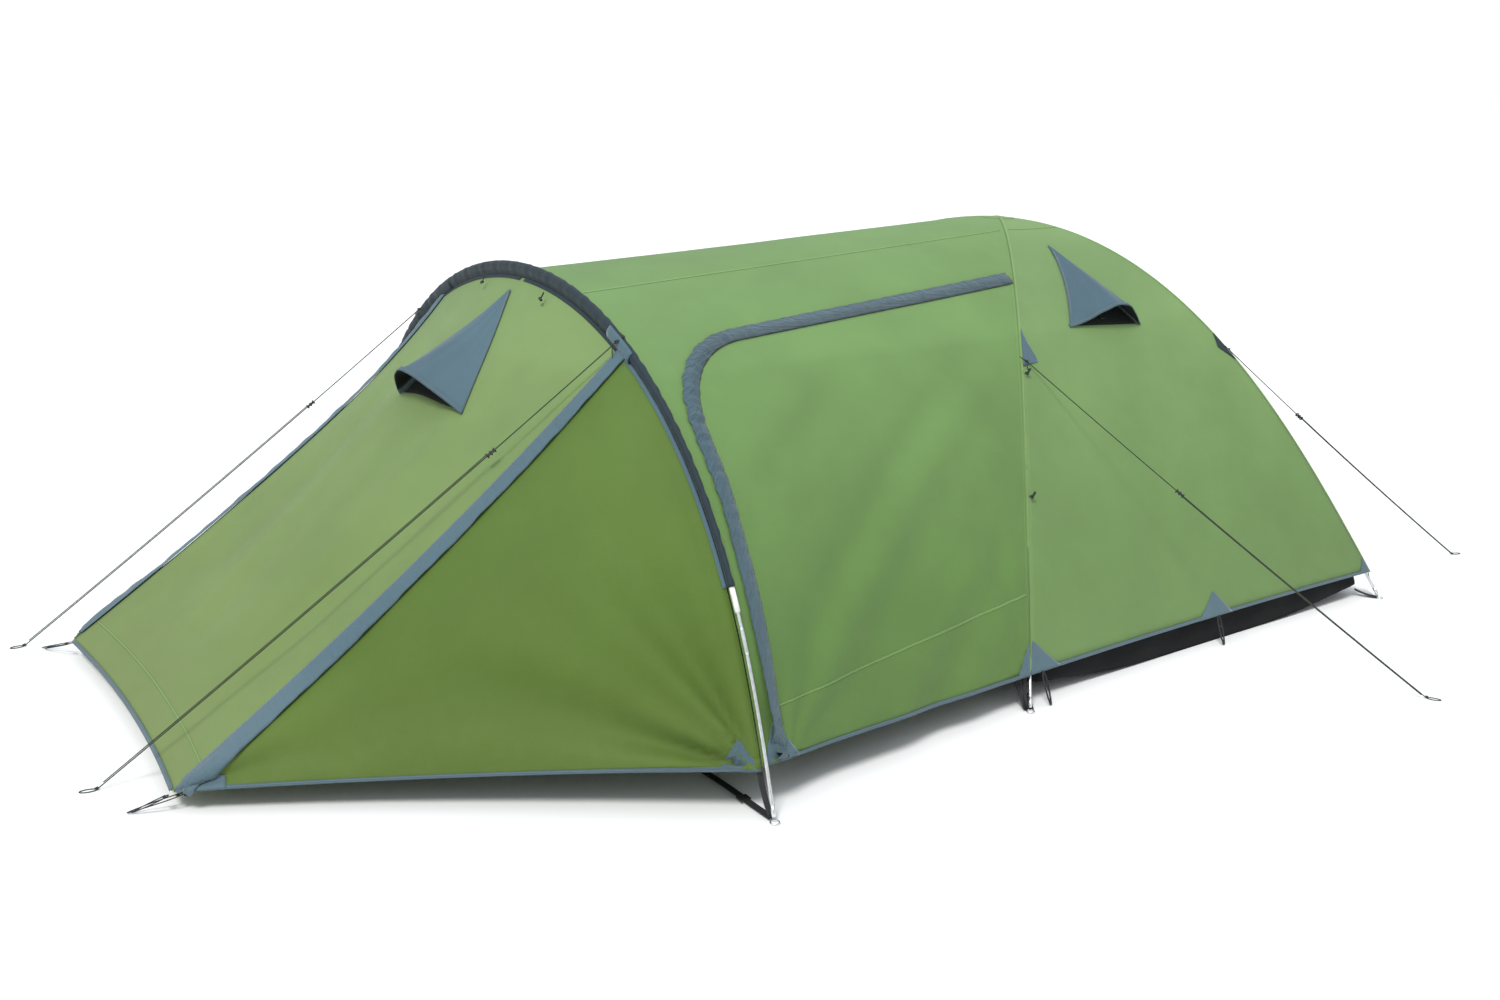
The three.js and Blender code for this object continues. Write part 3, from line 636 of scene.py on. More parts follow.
def tunnel_surface(sy):
    folds = (((CROSS_X - 0.88, sy * 1.18, 0.1), (-1, 0, 0), UP, 0.45, 11, 0.005, 0.6),
             ((CROSS_X - 1.82, sy * 1.28, 0.12), (1, 0, 0), UP, 0.40, 12, 0.006, 0))

    def surface(u, t):
        u, t = broad(u, t)
        p = mix(arch_seam(sy, t), fly_leg(-1, sy, t), u)
        pull = vec(0, -sy * 0.8, -0.35)
        sag = 0.014 * bulge(u) * rise(np.minimum(1, 2 * (1 - t)))
        p = p + pull * sag[..., None]
        edge = bulge(u) * np.clip((1 - t) * 2.5, 0, 1)
        taut = near_edges(u) * np.clip((1 - t) * 2.5, 0, 1)
        wave = creases(p, edge, taut, 31, 0.0050, folds)
        slant = 2 * math.pi * (1.9 * t - u)
        pulled = np.sin(slant / 0.36 + 0.8) * 0.0075 + np.sin(slant / 0.23) * 0.0035
        wave = wave + pulled * edge * np.clip((0.66 - t) * 5, 0, 1)
        return p - pull * wave[..., None]
    surface.out = vec(0, sy * 0.75, 0.6)
    return surface


FRONT_PULL = vec(0.5, 0, -0.85)
SEAM_SAG = 0.028
FAR_SEAM_SAG = 0.034
FAR_SEAM_SLACK = 0.050
PANEL_SAG = 0.040


def seam_sag(sy, b):
    """The far zip hangs slacker than the near one, most of all near the arch."""
    return np.where(np.asarray(sy) < 0, SEAM_SAG, FAR_SEAM_SAG + FAR_SEAM_SLACK * (1 - b) ** 2)


front_corner = {sy: vec(CROSS_X + FRONT_X, sy * FRONT_HALF, FRONT_Z) for sy in (-1, 1)}


def wing_surface(sy):
    foot = (CROSS_X + ARCH_X, sy * 1.32, 0.11)
    folds = ((foot, (-1, 0, 0), UP, 0.55, 14, 0.019, 0.4),
             (foot, (-1, 0, 0), UP, 0.80, 7, 0.024, 2.1),
             (front_corner[sy], (1, 0, 0), UP, 0.45, 16, 0.012, 0))
    out = vec(-0.35, sy * 0.75, 0.5)

    def surface(a, b):
        a, b = broad(a, b)
        t = WING_HEM_T + (ZIP_TOP_T - WING_HEM_T) * a
        p = mix(arch_seam(sy, t), front_corner[sy], b)
        p = p + vec(0.2, -sy * 0.6, -0.35) * (0.030 * bulge(b) * (1 - a))[..., None]
        p = p + FRONT_PULL * (seam_sag(sy, b) * bulge(b) * a)[..., None]
        p = p + UP * (0.014 * bulge(b) * (1 - a) ** 6)[..., None]
        free = np.clip((1 - a) * 4, 0, 1)
        wave = creases(p, bulge(b) * free, near_edges(b) * free, 47, 0.006, folds)
        return p + out * wave[..., None]
    surface.out = out
    return surface


def front_surface(u, b):
    """u runs from -1 at the near zip to 1 at the far zip, b from the arch down to the front edge."""
    u, b = broad(u, b)
    s = np.abs(u)
    near = arch_seam(-1, 1 - (1 - ZIP_TOP_T) * s)
    far = arch_seam(1, 1 - (1 - ZIP_TOP_T) * s)
    top = np.where((u < 0)[..., None], near, far)
    low_x = CROSS_X + FRONT_X + FRONT_BOW * (1 - u ** 2)
    low = np.stack([low_x, FRONT_HALF * u, np.full_like(u, FRONT_Z)], -1)
    sag = PANEL_SAG + (seam_sag(np.sign(u), b) - PANEL_SAG) * s ** 2
    p = mix(top, low, b) + FRONT_PULL * (sag * bulge(b))[..., None]
    edge = bulge(b) * (1 - s ** 4)
    # Long soft folds that run from the arch down to the front edge.
    long_folds = 0.012 * np.sin(4.4 * u + 0.9 + 1.6 * b) + 0.006 * np.sin(9.5 * u - 2.2 * b)
    long_folds = long_folds + 0.003 * np.sin(17 * u + 5 * b)
    folds = [(front_corner[sy], (1, 0, 0), (0, -sy, 0), 0.35, 10, 0.006, 0) for sy in (-1, 1)]
    wave = creases(p, edge, edge, 59, 0.0055, folds) + long_folds * edge
    return p - FRONT_PULL * wave[..., None]


front_surface.out = vec(-0.6, 0, 0.8)


def lifted(surface, u, t, height):
    """Points above a surface, on its outer side."""
    u, t = broad(u, t)
    step = 1e-3
    p = surface(u, t)
    along_u = surface(u + step, t) - surface(u - step, t)
    along_t = surface(u, t + step) - surface(u, t - step)
    n = unit(np.cross(along_u, along_t))
    sign = np.sign((n * surface.out).sum(-1, keepdims=True))
    return p + n * sign * np.asarray(height)[..., None]


def on_grid(us, ts):
    return np.meshgrid(us, ts, indexing="ij")


def patch(name, surface, apex, left, right, kind="trim", height=0.0022, body=ROOT):
    """A triangular reinforcement on a surface; the corners are places on it."""
    k, v = on_grid(np.linspace(0, 1, 10), np.linspace(0.04, 1, 10))
    base = np.outer(1 - k.ravel(), left) + np.outer(k.ravel(), right)
    place = np.outer(1 - v.ravel(), apex) + base * v.ravel()[:, None]
    u, t = place[:, 0].reshape(k.shape), place[:, 1].reshape(k.shape)
    return cloth(name, lifted(surface, u, t, height), kind, body, surface.out)


def band(name, surface, us, ts, kind="trim", height=0.0018, body=ROOT):
    """A strip of tape lying on a surface over us by ts."""
    u, t = on_grid(us, ts)
    return cloth(name, lifted(surface, u, t, height), kind, body, surface.out)


# ---- Cords first: guy lines, as the CAD routes them ----
GUY_R = 0.0016
GUY_START = 0.012
GUY_SAG = 0.010
RETURN_GAP = 0.0106
# Where each line starts, where it ends, and the slider's share of the way down.
guy_ends = {
    "arch_near": (arch_leg(-1, 0.705, SLEEVE_R + 0.004), vec(CROSS_X - 3.235, -0.363, GUY_R), 0.26),
    "arch_far": (arch_leg(1, 0.6, SLEEVE_R + 0.004), vec(CROSS_X - 3.214, 0.736, GUY_R), 0.30),
    "side_near": (fly_leg(-1, -1, 0.505), vec(CROSS_X + 0.201, -1.748, GUY_R), 0.40),
    "side_far": (fly_leg(-1, 1, 0.505), vec(CROSS_X + 0.201, 1.748, GUY_R), 0.40),
    "rear_near": (fly_leg(1, -1, 0.475), vec(CROSS_X + 1.630, -0.962, GUY_R), 0.30),
    "rear_far": (fly_leg(1, 1, 0.475), vec(CROSS_X + 1.630, 0.962, GUY_R), 0.30),
}


def braid(name, route, radius, kind):
    """A cord whose surface carries a fine braid."""
    length = distances(route)[-1]
    even = np.linspace(0, length, max(24, int(length / 0.012)))
    return tube(name, at_distances(route, even), radius, kind, sides=10)


def guy_line(start, end, k):
    return mix(start[None], end[None], k) - UP * (GUY_SAG * bulge(k))[:, None]


def make_guy(label, start, end, slider_at):
    direction = unit(end - start)
    start = start + direction * GUY_START
    route = guy_line(start, end, np.linspace(0, 1, 40))
    cord = braid(f"guy_cord_{label}", route, GUY_R, "guy")
    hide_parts(f"guy_{label}")
    length = float(distances(route)[-1])
    middle = guy_line(start, end, vec(slider_at))[0]
    body = f"guy_slider_{label}"
    side = unit(np.cross(direction, UP))
    slider = slider_piece(f"slider_{label}", middle, direction, side, body)
    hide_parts(body)
    # The peg eye: the end of the line turned back on itself and knotted, lying at the ground.
    flat = unit(vec(direction[0], direction[1], 0))
    across = vec(-flat[1], flat[0], 0)
    loop = ellipse(end + flat * 0.020, flat * 0.020, across * 0.008, 28)
    eye = tube(f"guy_eye_{label}", loop, GUY_R * 0.9, "guy", sides=8, closed=True)
    knot = knot_piece(f"guy_knot_{label}", end + vec(0, 0, 0.002), 0.0042, "guy")
    # The line comes back from the peg to the slider, close beside itself.
    back = np.linspace(slider_at + 0.006, 0.988, 30)
    returned = guy_line(start, end, back) + side * RETURN_GAP
    second = tube(f"guy_return_{label}", returned, GUY_R * 0.9, "guy", sides=8)
    curl = np.linspace(0, 1, 26)
    tail_path = start + direction * (0.010 + 0.020 * curl[:, None])
    tail_path = tail_path + side * (0.014 * np.sin(curl * 4.2))[:, None]
    tail_path = tail_path - UP * (0.044 * curl ** 1.5)[:, None]
    tail = tube(f"guy_tail_{label}", tail_path, GUY_R * 0.85, "guy", sides=8)
    top_knot = knot_piece(f"guy_top_knot_{label}", start + direction * 0.010, 0.0046, "guy")


def knot_piece(name, at, radius, kind):
    """A small overhand knot: a trefoil of cord."""
    a = around(60)
    trefoil = np.stack([np.sin(a) + 2 * np.sin(2 * a), np.cos(a) - 2 * np.cos(2 * a), -np.sin(3 * a)], 1)
    points = vec(*at) + trefoil * radius / 3 * vec(1, 1, 0.8) + vec(0, 0, radius * 0.35)
    return tube(name, points, radius * 0.42, kind, sides=8, closed=True)


def slider_piece(name, at, ahead, side, body):
    """A three-hole guy slider: a waisted bar with a ridge at each end."""
    bar = []
    for k, (offset, width) in enumerate(((-0.012, 0.0062), (0.0, 0.0046), (0.012, 0.0062))):
        points = ellipse(at + ahead * offset, side * width, np.cross(side, ahead) * 0.0052, 22)
        bar.append(tube(f"{name}_{k}", points, 0.0021, "black", body, sides=8, closed=True))
    for sign in (-1, 1):
        rail = [at + side * sign * 0.0052 + ahead * x for x in np.linspace(-0.013, 0.013, 8)]
        bar.append(tube(f"{name}_rail{sign}", rail, 0.0022, "black", body, sides=8))
    return joined(name, bar, "black", body)


for guy_label, (guy_from, guy_to, guy_slider_k) in guy_ends.items():
    make_guy(guy_label, guy_from, guy_to, guy_slider_k)


# ---- Flysheet over the dome ----
ROOF_SEAM_TS = np.array([0.870, 0.8725, 0.875])
HEM_ROWS = HEM_WIDTH * np.array([-0.08, 0.2, 0.6, 1.0])
DOME_LEG_LENGTH = 1.96
TUNNEL_LEG_LENGTH = 1.90


def dome_panels():
    us = np.linspace(0.0008, 0.9992, 64)
    ts = HEM_T + (0.988 - HEM_T) * np.linspace(0, 1, 84) ** 0.94
    specs = [(f"fly_side_{label}", side_surface(sy)) for sy, label in SIDES] + [("fly_rear", rear_surface)]
    hem_rows = HEM_T + HEM_ROWS / DOME_LEG_LENGTH
    for name, surface in specs:
        u, t = on_grid(us, ts)
        panel = cloth(f"{name}_cloth", surface(u, t), "fly", outward=surface.out)
        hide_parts(name)
        hem = band(f"{name}_hem", surface, us[1:-1], hem_rows, "hem", 0.0016)
        left = patch(f"{name}_corner_a", surface, (0.004, 0.090), (0.002, HEM_T), (0.076, HEM_T))
        right = patch(f"{name}_corner_b", surface, (0.997, 0.072), (0.966, HEM_T), (0.998, HEM_T))
        patch_low = HEM_T - 0.0006
        middle = patch(f"{name}_mid_patch", surface, (0.52, 0.084), (0.460, patch_low), (0.558, patch_low))
        loop = peg_loop(f"{name}_loop", surface(0.515, HEM_T), surface.out)
        roof_seam = band(f"{name}_top_seam", surface, us[1:-1], ROOF_SEAM_TS, "seam", 0.0014)
        as_sheet(panel)


def peg_loop(name, at, outward):
    """A doubled elastic loop that hangs from the hem towards its peg, with a small knot."""
    flat = unit(vec(outward[0], outward[1], 0))
    across = vec(-flat[1], flat[0], 0)
    foot = vec(at[0], at[1], 0) + flat * 0.035
    foot[2] = 0.004
    points = long_loop(at, foot, across, 0.0075, 0.002, 44)
    pieces = [tube(f"{name}_cord", points, 0.0027, "elastic", sides=8, closed=True)]
    pieces.append(knot_piece(f"{name}_knot", mix(at, foot, 0.4), 0.0045, "elastic"))
    return joined(name, pieces, "elastic")


dome_panels()


def into_panel(surface, edge, t):
    """Directions across a panel, away from its edge, which lies at u = 0 or 1."""
    return unit(surface(abs(edge - 0.02), t) - surface(edge, t))


def leg_seams():
    """Lapped seams over the poles, with two rows of stitching."""
    t = np.linspace(HEM_T, 0.985, 110)
    for sx in (-1, 1):
        for sy, label in SIDES:
            front = (side_surface(sy), 0), (tunnel_surface(sy), 1)
            rear = (side_surface(sy), 1), (rear_surface, 0 if sy < 0 else 1)
            a, b = (into_panel(surface, edge, t) for surface, edge in (front if sx < 0 else rear))
            ridge = fly_leg(sx, sy, t) - unit(a + b) * 0.0022
            rows = [ridge + shift for shift in (a * 0.0065, a * 0.003, a * 0, b * 0.003, b * 0.0065)]
            name = f"leg_seam_{'front' if sx < 0 else 'rear'}_{label}"
            outward = -unit(a + b).mean(0)
            seam = cloth(name, np.stack(rows, 1), "seam", outward=outward, thick=0.001)
            as_sheet(seam)


leg_seams()


# ---- Tunnel, side doors and their flaps ----
def door_top(u):
    k = np.clip((DOOR_FRONT_U + DOOR_ROUND_U - u) / DOOR_ROUND_U, 0, 1)
    return DOOR_TOP_T - DOOR_ROUND_T * (1 - np.sqrt(1 - k * k))


door_us = np.unique(np.concatenate([
    DOOR_FRONT_U + DOOR_ROUND_U * (1 - np.cos(np.linspace(0, math.pi / 2, 26))),
    np.linspace(DOOR_FRONT_U + DOOR_ROUND_U, 0.9992, 52)]))
HINGE_U = 0.985


def tunnel_piece():
    strip = np.linspace(0.0008, DOOR_FRONT_U, 6)[:-1]
    door_columns = door_us[door_us < HINGE_U]
    us = np.concatenate([strip, door_columns, [HINGE_U, 0.9925, 0.9995]])
    door_rows, roof_rows = 48, 40
    down = np.linspace(0, 1, door_rows + 1)
    over = np.linspace(0, 1, roof_rows + 1)[1:]
    top = door_top(us)[:, None]
    low = tunnel_hem(us)[:, None]
    t = np.concatenate([low + (top - low) * down, top + (1 - top) * over], 1)
    u = np.repeat(us[:, None], t.shape[1], 1)
    near, far = tunnel_surface(-1)(u, t), tunnel_surface(1)(u, t)
    points = np.concatenate([near, far[:, ::-1][:, 1:]], 1)
    cells = points.shape[1] - 1
    mask = np.ones((len(us) - 1, cells), bool)
    opening = slice(len(strip), len(strip) + len(door_columns))
    mask[opening, :door_rows] = False
    mask[opening, cells - door_rows:] = False
    panel = cloth("fly_tunnel_cloth", points, "tunnel", outward=UP, mask=mask)
    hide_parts("fly_tunnel")
    for sy, label in SIDES:
        surface = tunnel_surface(sy)
        # Seam along the ridge panel, just below the top on each side.
        ridge = np.linspace(0.01, 0.985, 90)
        band(f"roof_seam_{label}", surface, ridge, ROOF_SEAM_TS, "seam", 0.0014)
        corner = ((0.052, 0.118), (0.003, 0.067), (0.122, 0.064))
        patch(f"tunnel_corner_{label}", surface, *corner)
    as_sheet(panel)


tunnel_piece()


def door_pieces(sy, label):
    surface = tunnel_surface(sy)
    body = f"side_door_{label}"
    us = np.append(door_us[door_us < HINGE_U], HINGE_U)
    us[0] += 0.0012
    top = door_top(us)[:, None] - 0.0012
    low = tunnel_hem(us)[:, None]
    t = low + (top - low) * np.linspace(0, 1, 64)
    u = np.repeat(us[:, None], t.shape[1], 1)
    door = cloth(f"{body}_cloth", surface(u, t), "tunnel", None, surface.out)
    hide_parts(body)
    hem_us = np.linspace(DOOR_FRONT_U + 0.004, HINGE_U, 90)
    low_ts = tunnel_hem(hem_us)
    hem_rows = [lifted(surface, hem_us, low_ts + d / TUNNEL_LEG_LENGTH, 0.0016) for d in HEM_ROWS]
    hem = cloth(f"{body}_hem", np.stack(hem_rows, 1), "hem", None, surface.out)
    low_t = 0.150 - 0.018 * (1 - hem_us)
    rows = np.stack([lifted(surface, hem_us, low_t + d, 0.0014) for d in (-0.0014, 0.0, 0.0014)], 1)
    seam = cloth(f"{body}_low_seam", rows, "seam", None, surface.out, thick=0.001)
    flap = door_flap(sy, label, surface)
    corner = patch(f"{body}_corner", surface, (0.996, 0.090), (0.944, 0.0475), (0.998, 0.0472), body=None)
    hinge = next(j for j in frame["joints"] if j["name"] == f"{body}_swing")
    axis = unit(vec(*hinge["axis"]))
    mid = vec(*hinge["pos_m"])
    into = surface(0.8, 0.4) - mid
    into = unit(into - axis * into.dot(axis))
    for piece in (door, hem, seam, flap, corner):
        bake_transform(piece)
    as_sheet(door)
    as_sheet(flap)


def door_flap(sy, label, surface):
    """The storm flap over the door's zip, gathered round the bend."""
    straight_t = np.linspace(tunnel_hem(DOOR_FRONT_U) - 0.001, DOOR_TOP_T - DOOR_ROUND_T, 90)
    bend = np.linspace(0, math.pi / 2, 60)[1:]
    top_u = np.linspace(DOOR_FRONT_U + DOOR_ROUND_U, 0.990, 110)[1:]
    bend_u = DOOR_FRONT_U + DOOR_ROUND_U * (1 - np.cos(bend))
    bend_t = DOOR_TOP_T - DOOR_ROUND_T * (1 - np.sin(bend))
    u = np.concatenate([np.full_like(straight_t, DOOR_FRONT_U), bend_u, top_u])
    t = np.concatenate([straight_t, bend_t, np.full_like(top_u, DOOR_TOP_T)])
    base = surface(u, t)
    along = unit(np.gradient(base, axis=0))
    n = unit(lifted(surface, u, t, 0.01) - base)
    away = np.cross(along, n) * sy
    outside = unit(surface(DOOR_FRONT_U - 0.03, 0.3) - surface(DOOR_FRONT_U, 0.3))
    if away[20].dot(outside) < 0:
        away = -away
    place = distances(base)
    gather = 0.45 + 0.9 * np.exp(-((place - place[100]) / 0.30) ** 2) + 0.8 * np.exp(-(place / 0.10) ** 2)
    rng = np.random.default_rng(5)
    waves = ((0.031, 0.0021), (0.047, 0.00189), (0.073, 0.00147), (0.019, 0.00126))
    pucker = puckers(place, rng, waves) * gather
    rows = []
    for k in np.linspace(0, 1, 9):
        lift = 0.0035 + 0.0045 * math.sin(math.pi * min(1, k * 1.15)) + 0.002 * k
        swell = math.sin(math.pi * min(1.0, 0.15 + 0.85 * k))
        edge = (0.0018 * np.sin(place * 90 + 2) + 0.0012 * np.sin(place * 211)) * gather * k
        rows.append(base + away * (0.048 * k - 0.004 + edge)[:, None] + n * (lift + pucker * swell)[:, None])
    flap = cloth(f"door_flap_{label}_cloth", np.stack(rows, 1), "flap", None, surface.out, thick=0.0014)
    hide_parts(f"door_flap_{label}")
    return flap


for door_sy, door_label in SIDES:
    door_pieces(door_sy, door_label)


# ---- Vestibule: wings, front panel, zip flaps ----
def wing_pieces(sy, label):
    surface = wing_surface(sy)
    toward_corner = np.concatenate([np.linspace(0.002, 0.9, 76), np.linspace(0.9, 0.994, 14)[1:]])
    a, b = on_grid(np.linspace(0, 0.9985, 70), toward_corner)
    wing = cloth(f"wing_{label}_cloth", surface(a, b), "wing", outward=surface.out)
    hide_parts(f"wing_{label}")
    bs = np.linspace(0.004, 0.96, 90)
    tenth = surface(np.full_like(bs, 0.1), bs) - surface(np.zeros_like(bs), bs)
    span = np.linalg.norm(tenth, axis=-1) * 10
    rows = [lifted(surface, d / span, bs, 0.0018) for d in (-0.0008, 0.002, 0.0055, HEM_WIDTH)]
    hem = cloth(f"wing_{label}_hem", np.stack(rows, 1), "hem", outward=surface.out)
    foot = patch(f"wing_{label}_foot_patch", surface, (0.078, 0.030), (0.0, 0.003), (0.0, 0.077))
    k, v = on_grid(np.linspace(0, 1, 10), np.linspace(0, 1, 14))
    corner_at = lifted(surface, 0.98 * k * (0.35 + 0.65 * v), 0.905 + 0.085 * v, 0.0026)
    corner = cloth(f"wing_{label}_corner", corner_at, "trim", outward=surface.out)
    as_sheet(wing)
    zip_flap(sy, label, surface)


def zip_flap(sy, label, surface):
    """The storm flap over a front zip: sewn along the zip, its free edge standing a little off the wing."""
    b = np.linspace(0.0, 0.975, 150)
    span = np.linalg.norm(surface(np.ones_like(b), b) - surface(np.full_like(b, 0.9), b), axis=-1) * 10
    place = distances(surface(np.ones_like(b), b))
    rng = np.random.default_rng(8 + sy)
    pucker = puckers(place, rng, ((0.21, 0.001), (0.13, 0.001), (0.067, 0.001)))
    rows = []
    for k in np.linspace(0, 1, 9):
        reach = -0.008 + (0.044 + 0.022 * b) * k
        lift = 0.004 + 0.006 * math.sin(math.pi * 0.75 * k) + pucker * k
        rows.append(lifted(surface, 1 - reach / span, b, lift))
    flap = cloth(f"zip_flap_{label}_cloth", np.stack(rows, 1), "zip_flap", outward=surface.out, thick=0.0014)
    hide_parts(f"zip_flap_{label}")
    as_sheet(flap)


def front_pieces():
    body = "front_panel"
    u, b = on_grid(np.linspace(-0.9985, 0.9985, 84), np.linspace(0.003, 0.997, 96))
    panel = cloth("front_panel_cloth", front_surface(u, b), "front", body, front_surface.out)
    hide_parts("front_panel")
    us = np.linspace(-0.99, 0.99, 90)
    hem = band("front_panel_hem", front_surface, us, np.array([0.9925, 0.996, 1.0]), "hem", 0.002, body)
    seam_bs = np.array([0.9390, 0.9405, 0.9420])
    seam = band("front_panel_low_seam", front_surface, us, seam_bs, "seam", 0.0014, body)
    as_sheet(panel)


for wing_sy, wing_label in SIDES:
    wing_pieces(wing_sy, wing_label)
front_pieces()


# ---- Arch sleeve, poles and their ferrules ----
def arch_path(start, end, count, out=0.0):
    s = np.linspace(start, end, count)
    near = arch_leg(-1, 1 + np.minimum(s, 0), out)
    far = arch_leg(1, 1 - np.maximum(s, 0), out)
    return np.where((s < 0)[:, None], near, far)


def sleeve_piece():
    """The pole sleeve: round over the pole, drawn in to a flat flange at the seam."""
    half = 1 - SLEEVE_END_T
    path = arch_path(-half, half, 280)
    place = distances(path)
    outward = unit(arch_path(-half, half, 280, 0.01) - path)
    forward = unit(np.cross(np.gradient(path, axis=0), outward))
    pucker = 0.0005 * np.sin(place * 2 * math.pi / 0.043) + 0.0005 * np.sin(place * 2 * math.pi / 0.071 + 1)
    s_along = np.linspace(-half, half, 280)
    fullness = 0.62 + 0.54 / (1 + np.exp(-(s_along + 0.32) * 12))
    outline = [(0.0, -0.026), (0.0045, -0.024), (0.0060, -0.016), (0.0100, -0.010), (0.0125, -0.001),
               (0.0110, 0.008), (0.0060, 0.0145), (0.0, 0.0160)]
    outline = outline + [(-x, y) for x, y in outline[-2:0:-1]] + [outline[0]]
    rows = []
    for x, y in outline:
        wave = pucker * (1.5 if abs(x) > 0.005 else 0.5)
        rows.append(path + outward * (y * fullness + 0.5 * wave)[:, None]
                    + forward * (x * fullness + np.sign(x) * wave)[:, None])
    grid = np.stack(rows, 1)
    sleeve = cloth("arch_sleeve_cloth", grid, "sleeve", thick=0.0010)
    if float((grid_normals(grid)[:, 6] * outward).sum()) < 0:
        sleeve.data.flip_normals()
    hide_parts("arch_sleeve")
    as_sheet(sleeve)
    for sy, label in SIDES:
        a = np.linspace(0.375, 0.998, 110)
        wing_bs = np.array([0.0015, 0.004, 0.0065, 0.009])
        tape = band(f"arch_tape_{label}", wing_surface(sy), a, wing_bs, "trim", 0.0022)
        s_up = np.linspace(0.02, 0.985, 110) * sy
        top_bs = np.array([0.004, 0.006, 0.009, 0.011])
        band(f"arch_top_tape_{label}", front_surface, s_up, top_bs, "sleeve", 0.0022, "front_panel")
        as_sheet(tape)


sleeve_piece()


def pole_pieces():
    for sy, name, lift in ((-1, "dome_pole_near_front", 0.0052), (1, "dome_pole_far_front", -0.0052)):
        s = np.linspace(-1, 1, 220)
        t = np.clip(1 - np.abs(s), 0.006, 1)
        first, second = dome_leg(-1, sy, t), dome_leg(1, -sy, t)
        path = np.where((s < 0)[:, None], first, second)
        path[:, 2] += lift * t ** 8
        pole = tube(f"{name}_tube", path, POLE_R, "pole", sides=14)
        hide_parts(name)
        pole_joints(name, path, 9)
    path = arch_path(-0.992, 0.992, 220)
    pole = tube("arch_pole_tube", path, POLE_R, "pole", sides=14)
    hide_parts("arch_pole")
    pole_joints("arch_pole", path, 9)
    for sy, label in SIDES:
        t = np.linspace(0.302, 0.266, 14)
        radius = np.full(14, POLE_R + 0.0026)
        radius[[0, -1]] = POLE_R + 0.0016
        ferrule = tube(f"arch_ferrule_{label}_sleeve", arch_leg(sy, t), radius, "white", sides=16)
        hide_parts(f"arch_ferrule_{label}")


def pole_joints(name, path, sections):
    """The insert sleeve at each joint between pole sections, and a pointed tip at each end."""
    length = distances(path)[-1]
    joints = []
    for k in range(1, sections):
        points = at_distances(path, length * k / sections + np.linspace(-0.035, 0.035, 10))
        radius = np.full(10, POLE_R + 0.0007)
        radius[[0, -1]] = POLE_R + 0.0001
        joints.append(tube(f"{name}_joint_{k}", points, radius, "pole"))
    joined(f"{name}_joints", joints, "pole")
    tips = []
    for k, (end, inner) in enumerate(((path[0], path[4]), (path[-1], path[-5]))):
        down = unit(end - inner)
        points = end + down * np.array([-0.03, -0.012, -0.002, 0.0015])[:, None]
        points[:, 2] = np.maximum(points[:, 2], 0.0062)
        tips.append(tube(f"{name}_tip_{k}", points, (0.0056, 0.0056, 0.0052, 0.003), "pole"))
    joined(f"{name}_tips", tips, "pole")


pole_pieces()


# ---- Feet: rings, webbing and the strap buckle ----
WEBBING = 0.0018


def ribbon(name, points, width_dir, width):
    rows = np.stack([points + vec(*width_dir) * width * k for k in np.linspace(-0.5, 0.5, 5)], 1)
    return cloth(name, rows, "strap", outward=UP, thick=WEBBING)


def feet():
    for sx, front in ((-1, "front"), (1, "rear")):
        for sy, label in SIDES:
            foot = dome_leg(sx, sy, vec(0))[0]
            hem = fly_leg(sx, sy, vec(HEM_T))[0]
            inward = unit(vec(CROSS_X, 0, 0) - foot)
            across = vec(-inward[1], inward[0], 0)
            straps = []
            toward_end = across * np.sign(across[0] * sx)
            for k, apart in enumerate((0.017, 0.050)):
                top = hem + inward * 0.006 + toward_end * apart + vec(0, 0, 0.004)
                low = foot + inward * 0.004 + toward_end * 0.013 + vec(0, 0, 0.005)
                s = np.linspace(0, 1, 14)
                line = mix(top[None], low[None], s) + inward * (0.006 * bulge(s))[:, None]
                straps.append(ribbon(f"foot_strap_{front}_{label}_{k}", line, across, 0.012))
            reach = np.linspace(0.009, 0.085, 12)[:, None]
            tab_line = foot + inward * reach + UP * (0.0045 + 0.02 * (reach / 0.085) ** 2)
            straps.append(ribbon(f"foot_tail_{front}_{label}", tab_line, across, 0.022))
            tab = joined(f"foot_webbing_{front}_{label}", straps, "strap")
            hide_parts(f"foot_tab_{front}_{label}")
            circle = ellipse(foot + vec(0, 0, 0.0028), inward * 0.011, across * 0.011, 36)
            tube(f"foot_ring_{front}_{label}_wire", circle, 0.0018, "pole", sides=10, closed=True)


feet()


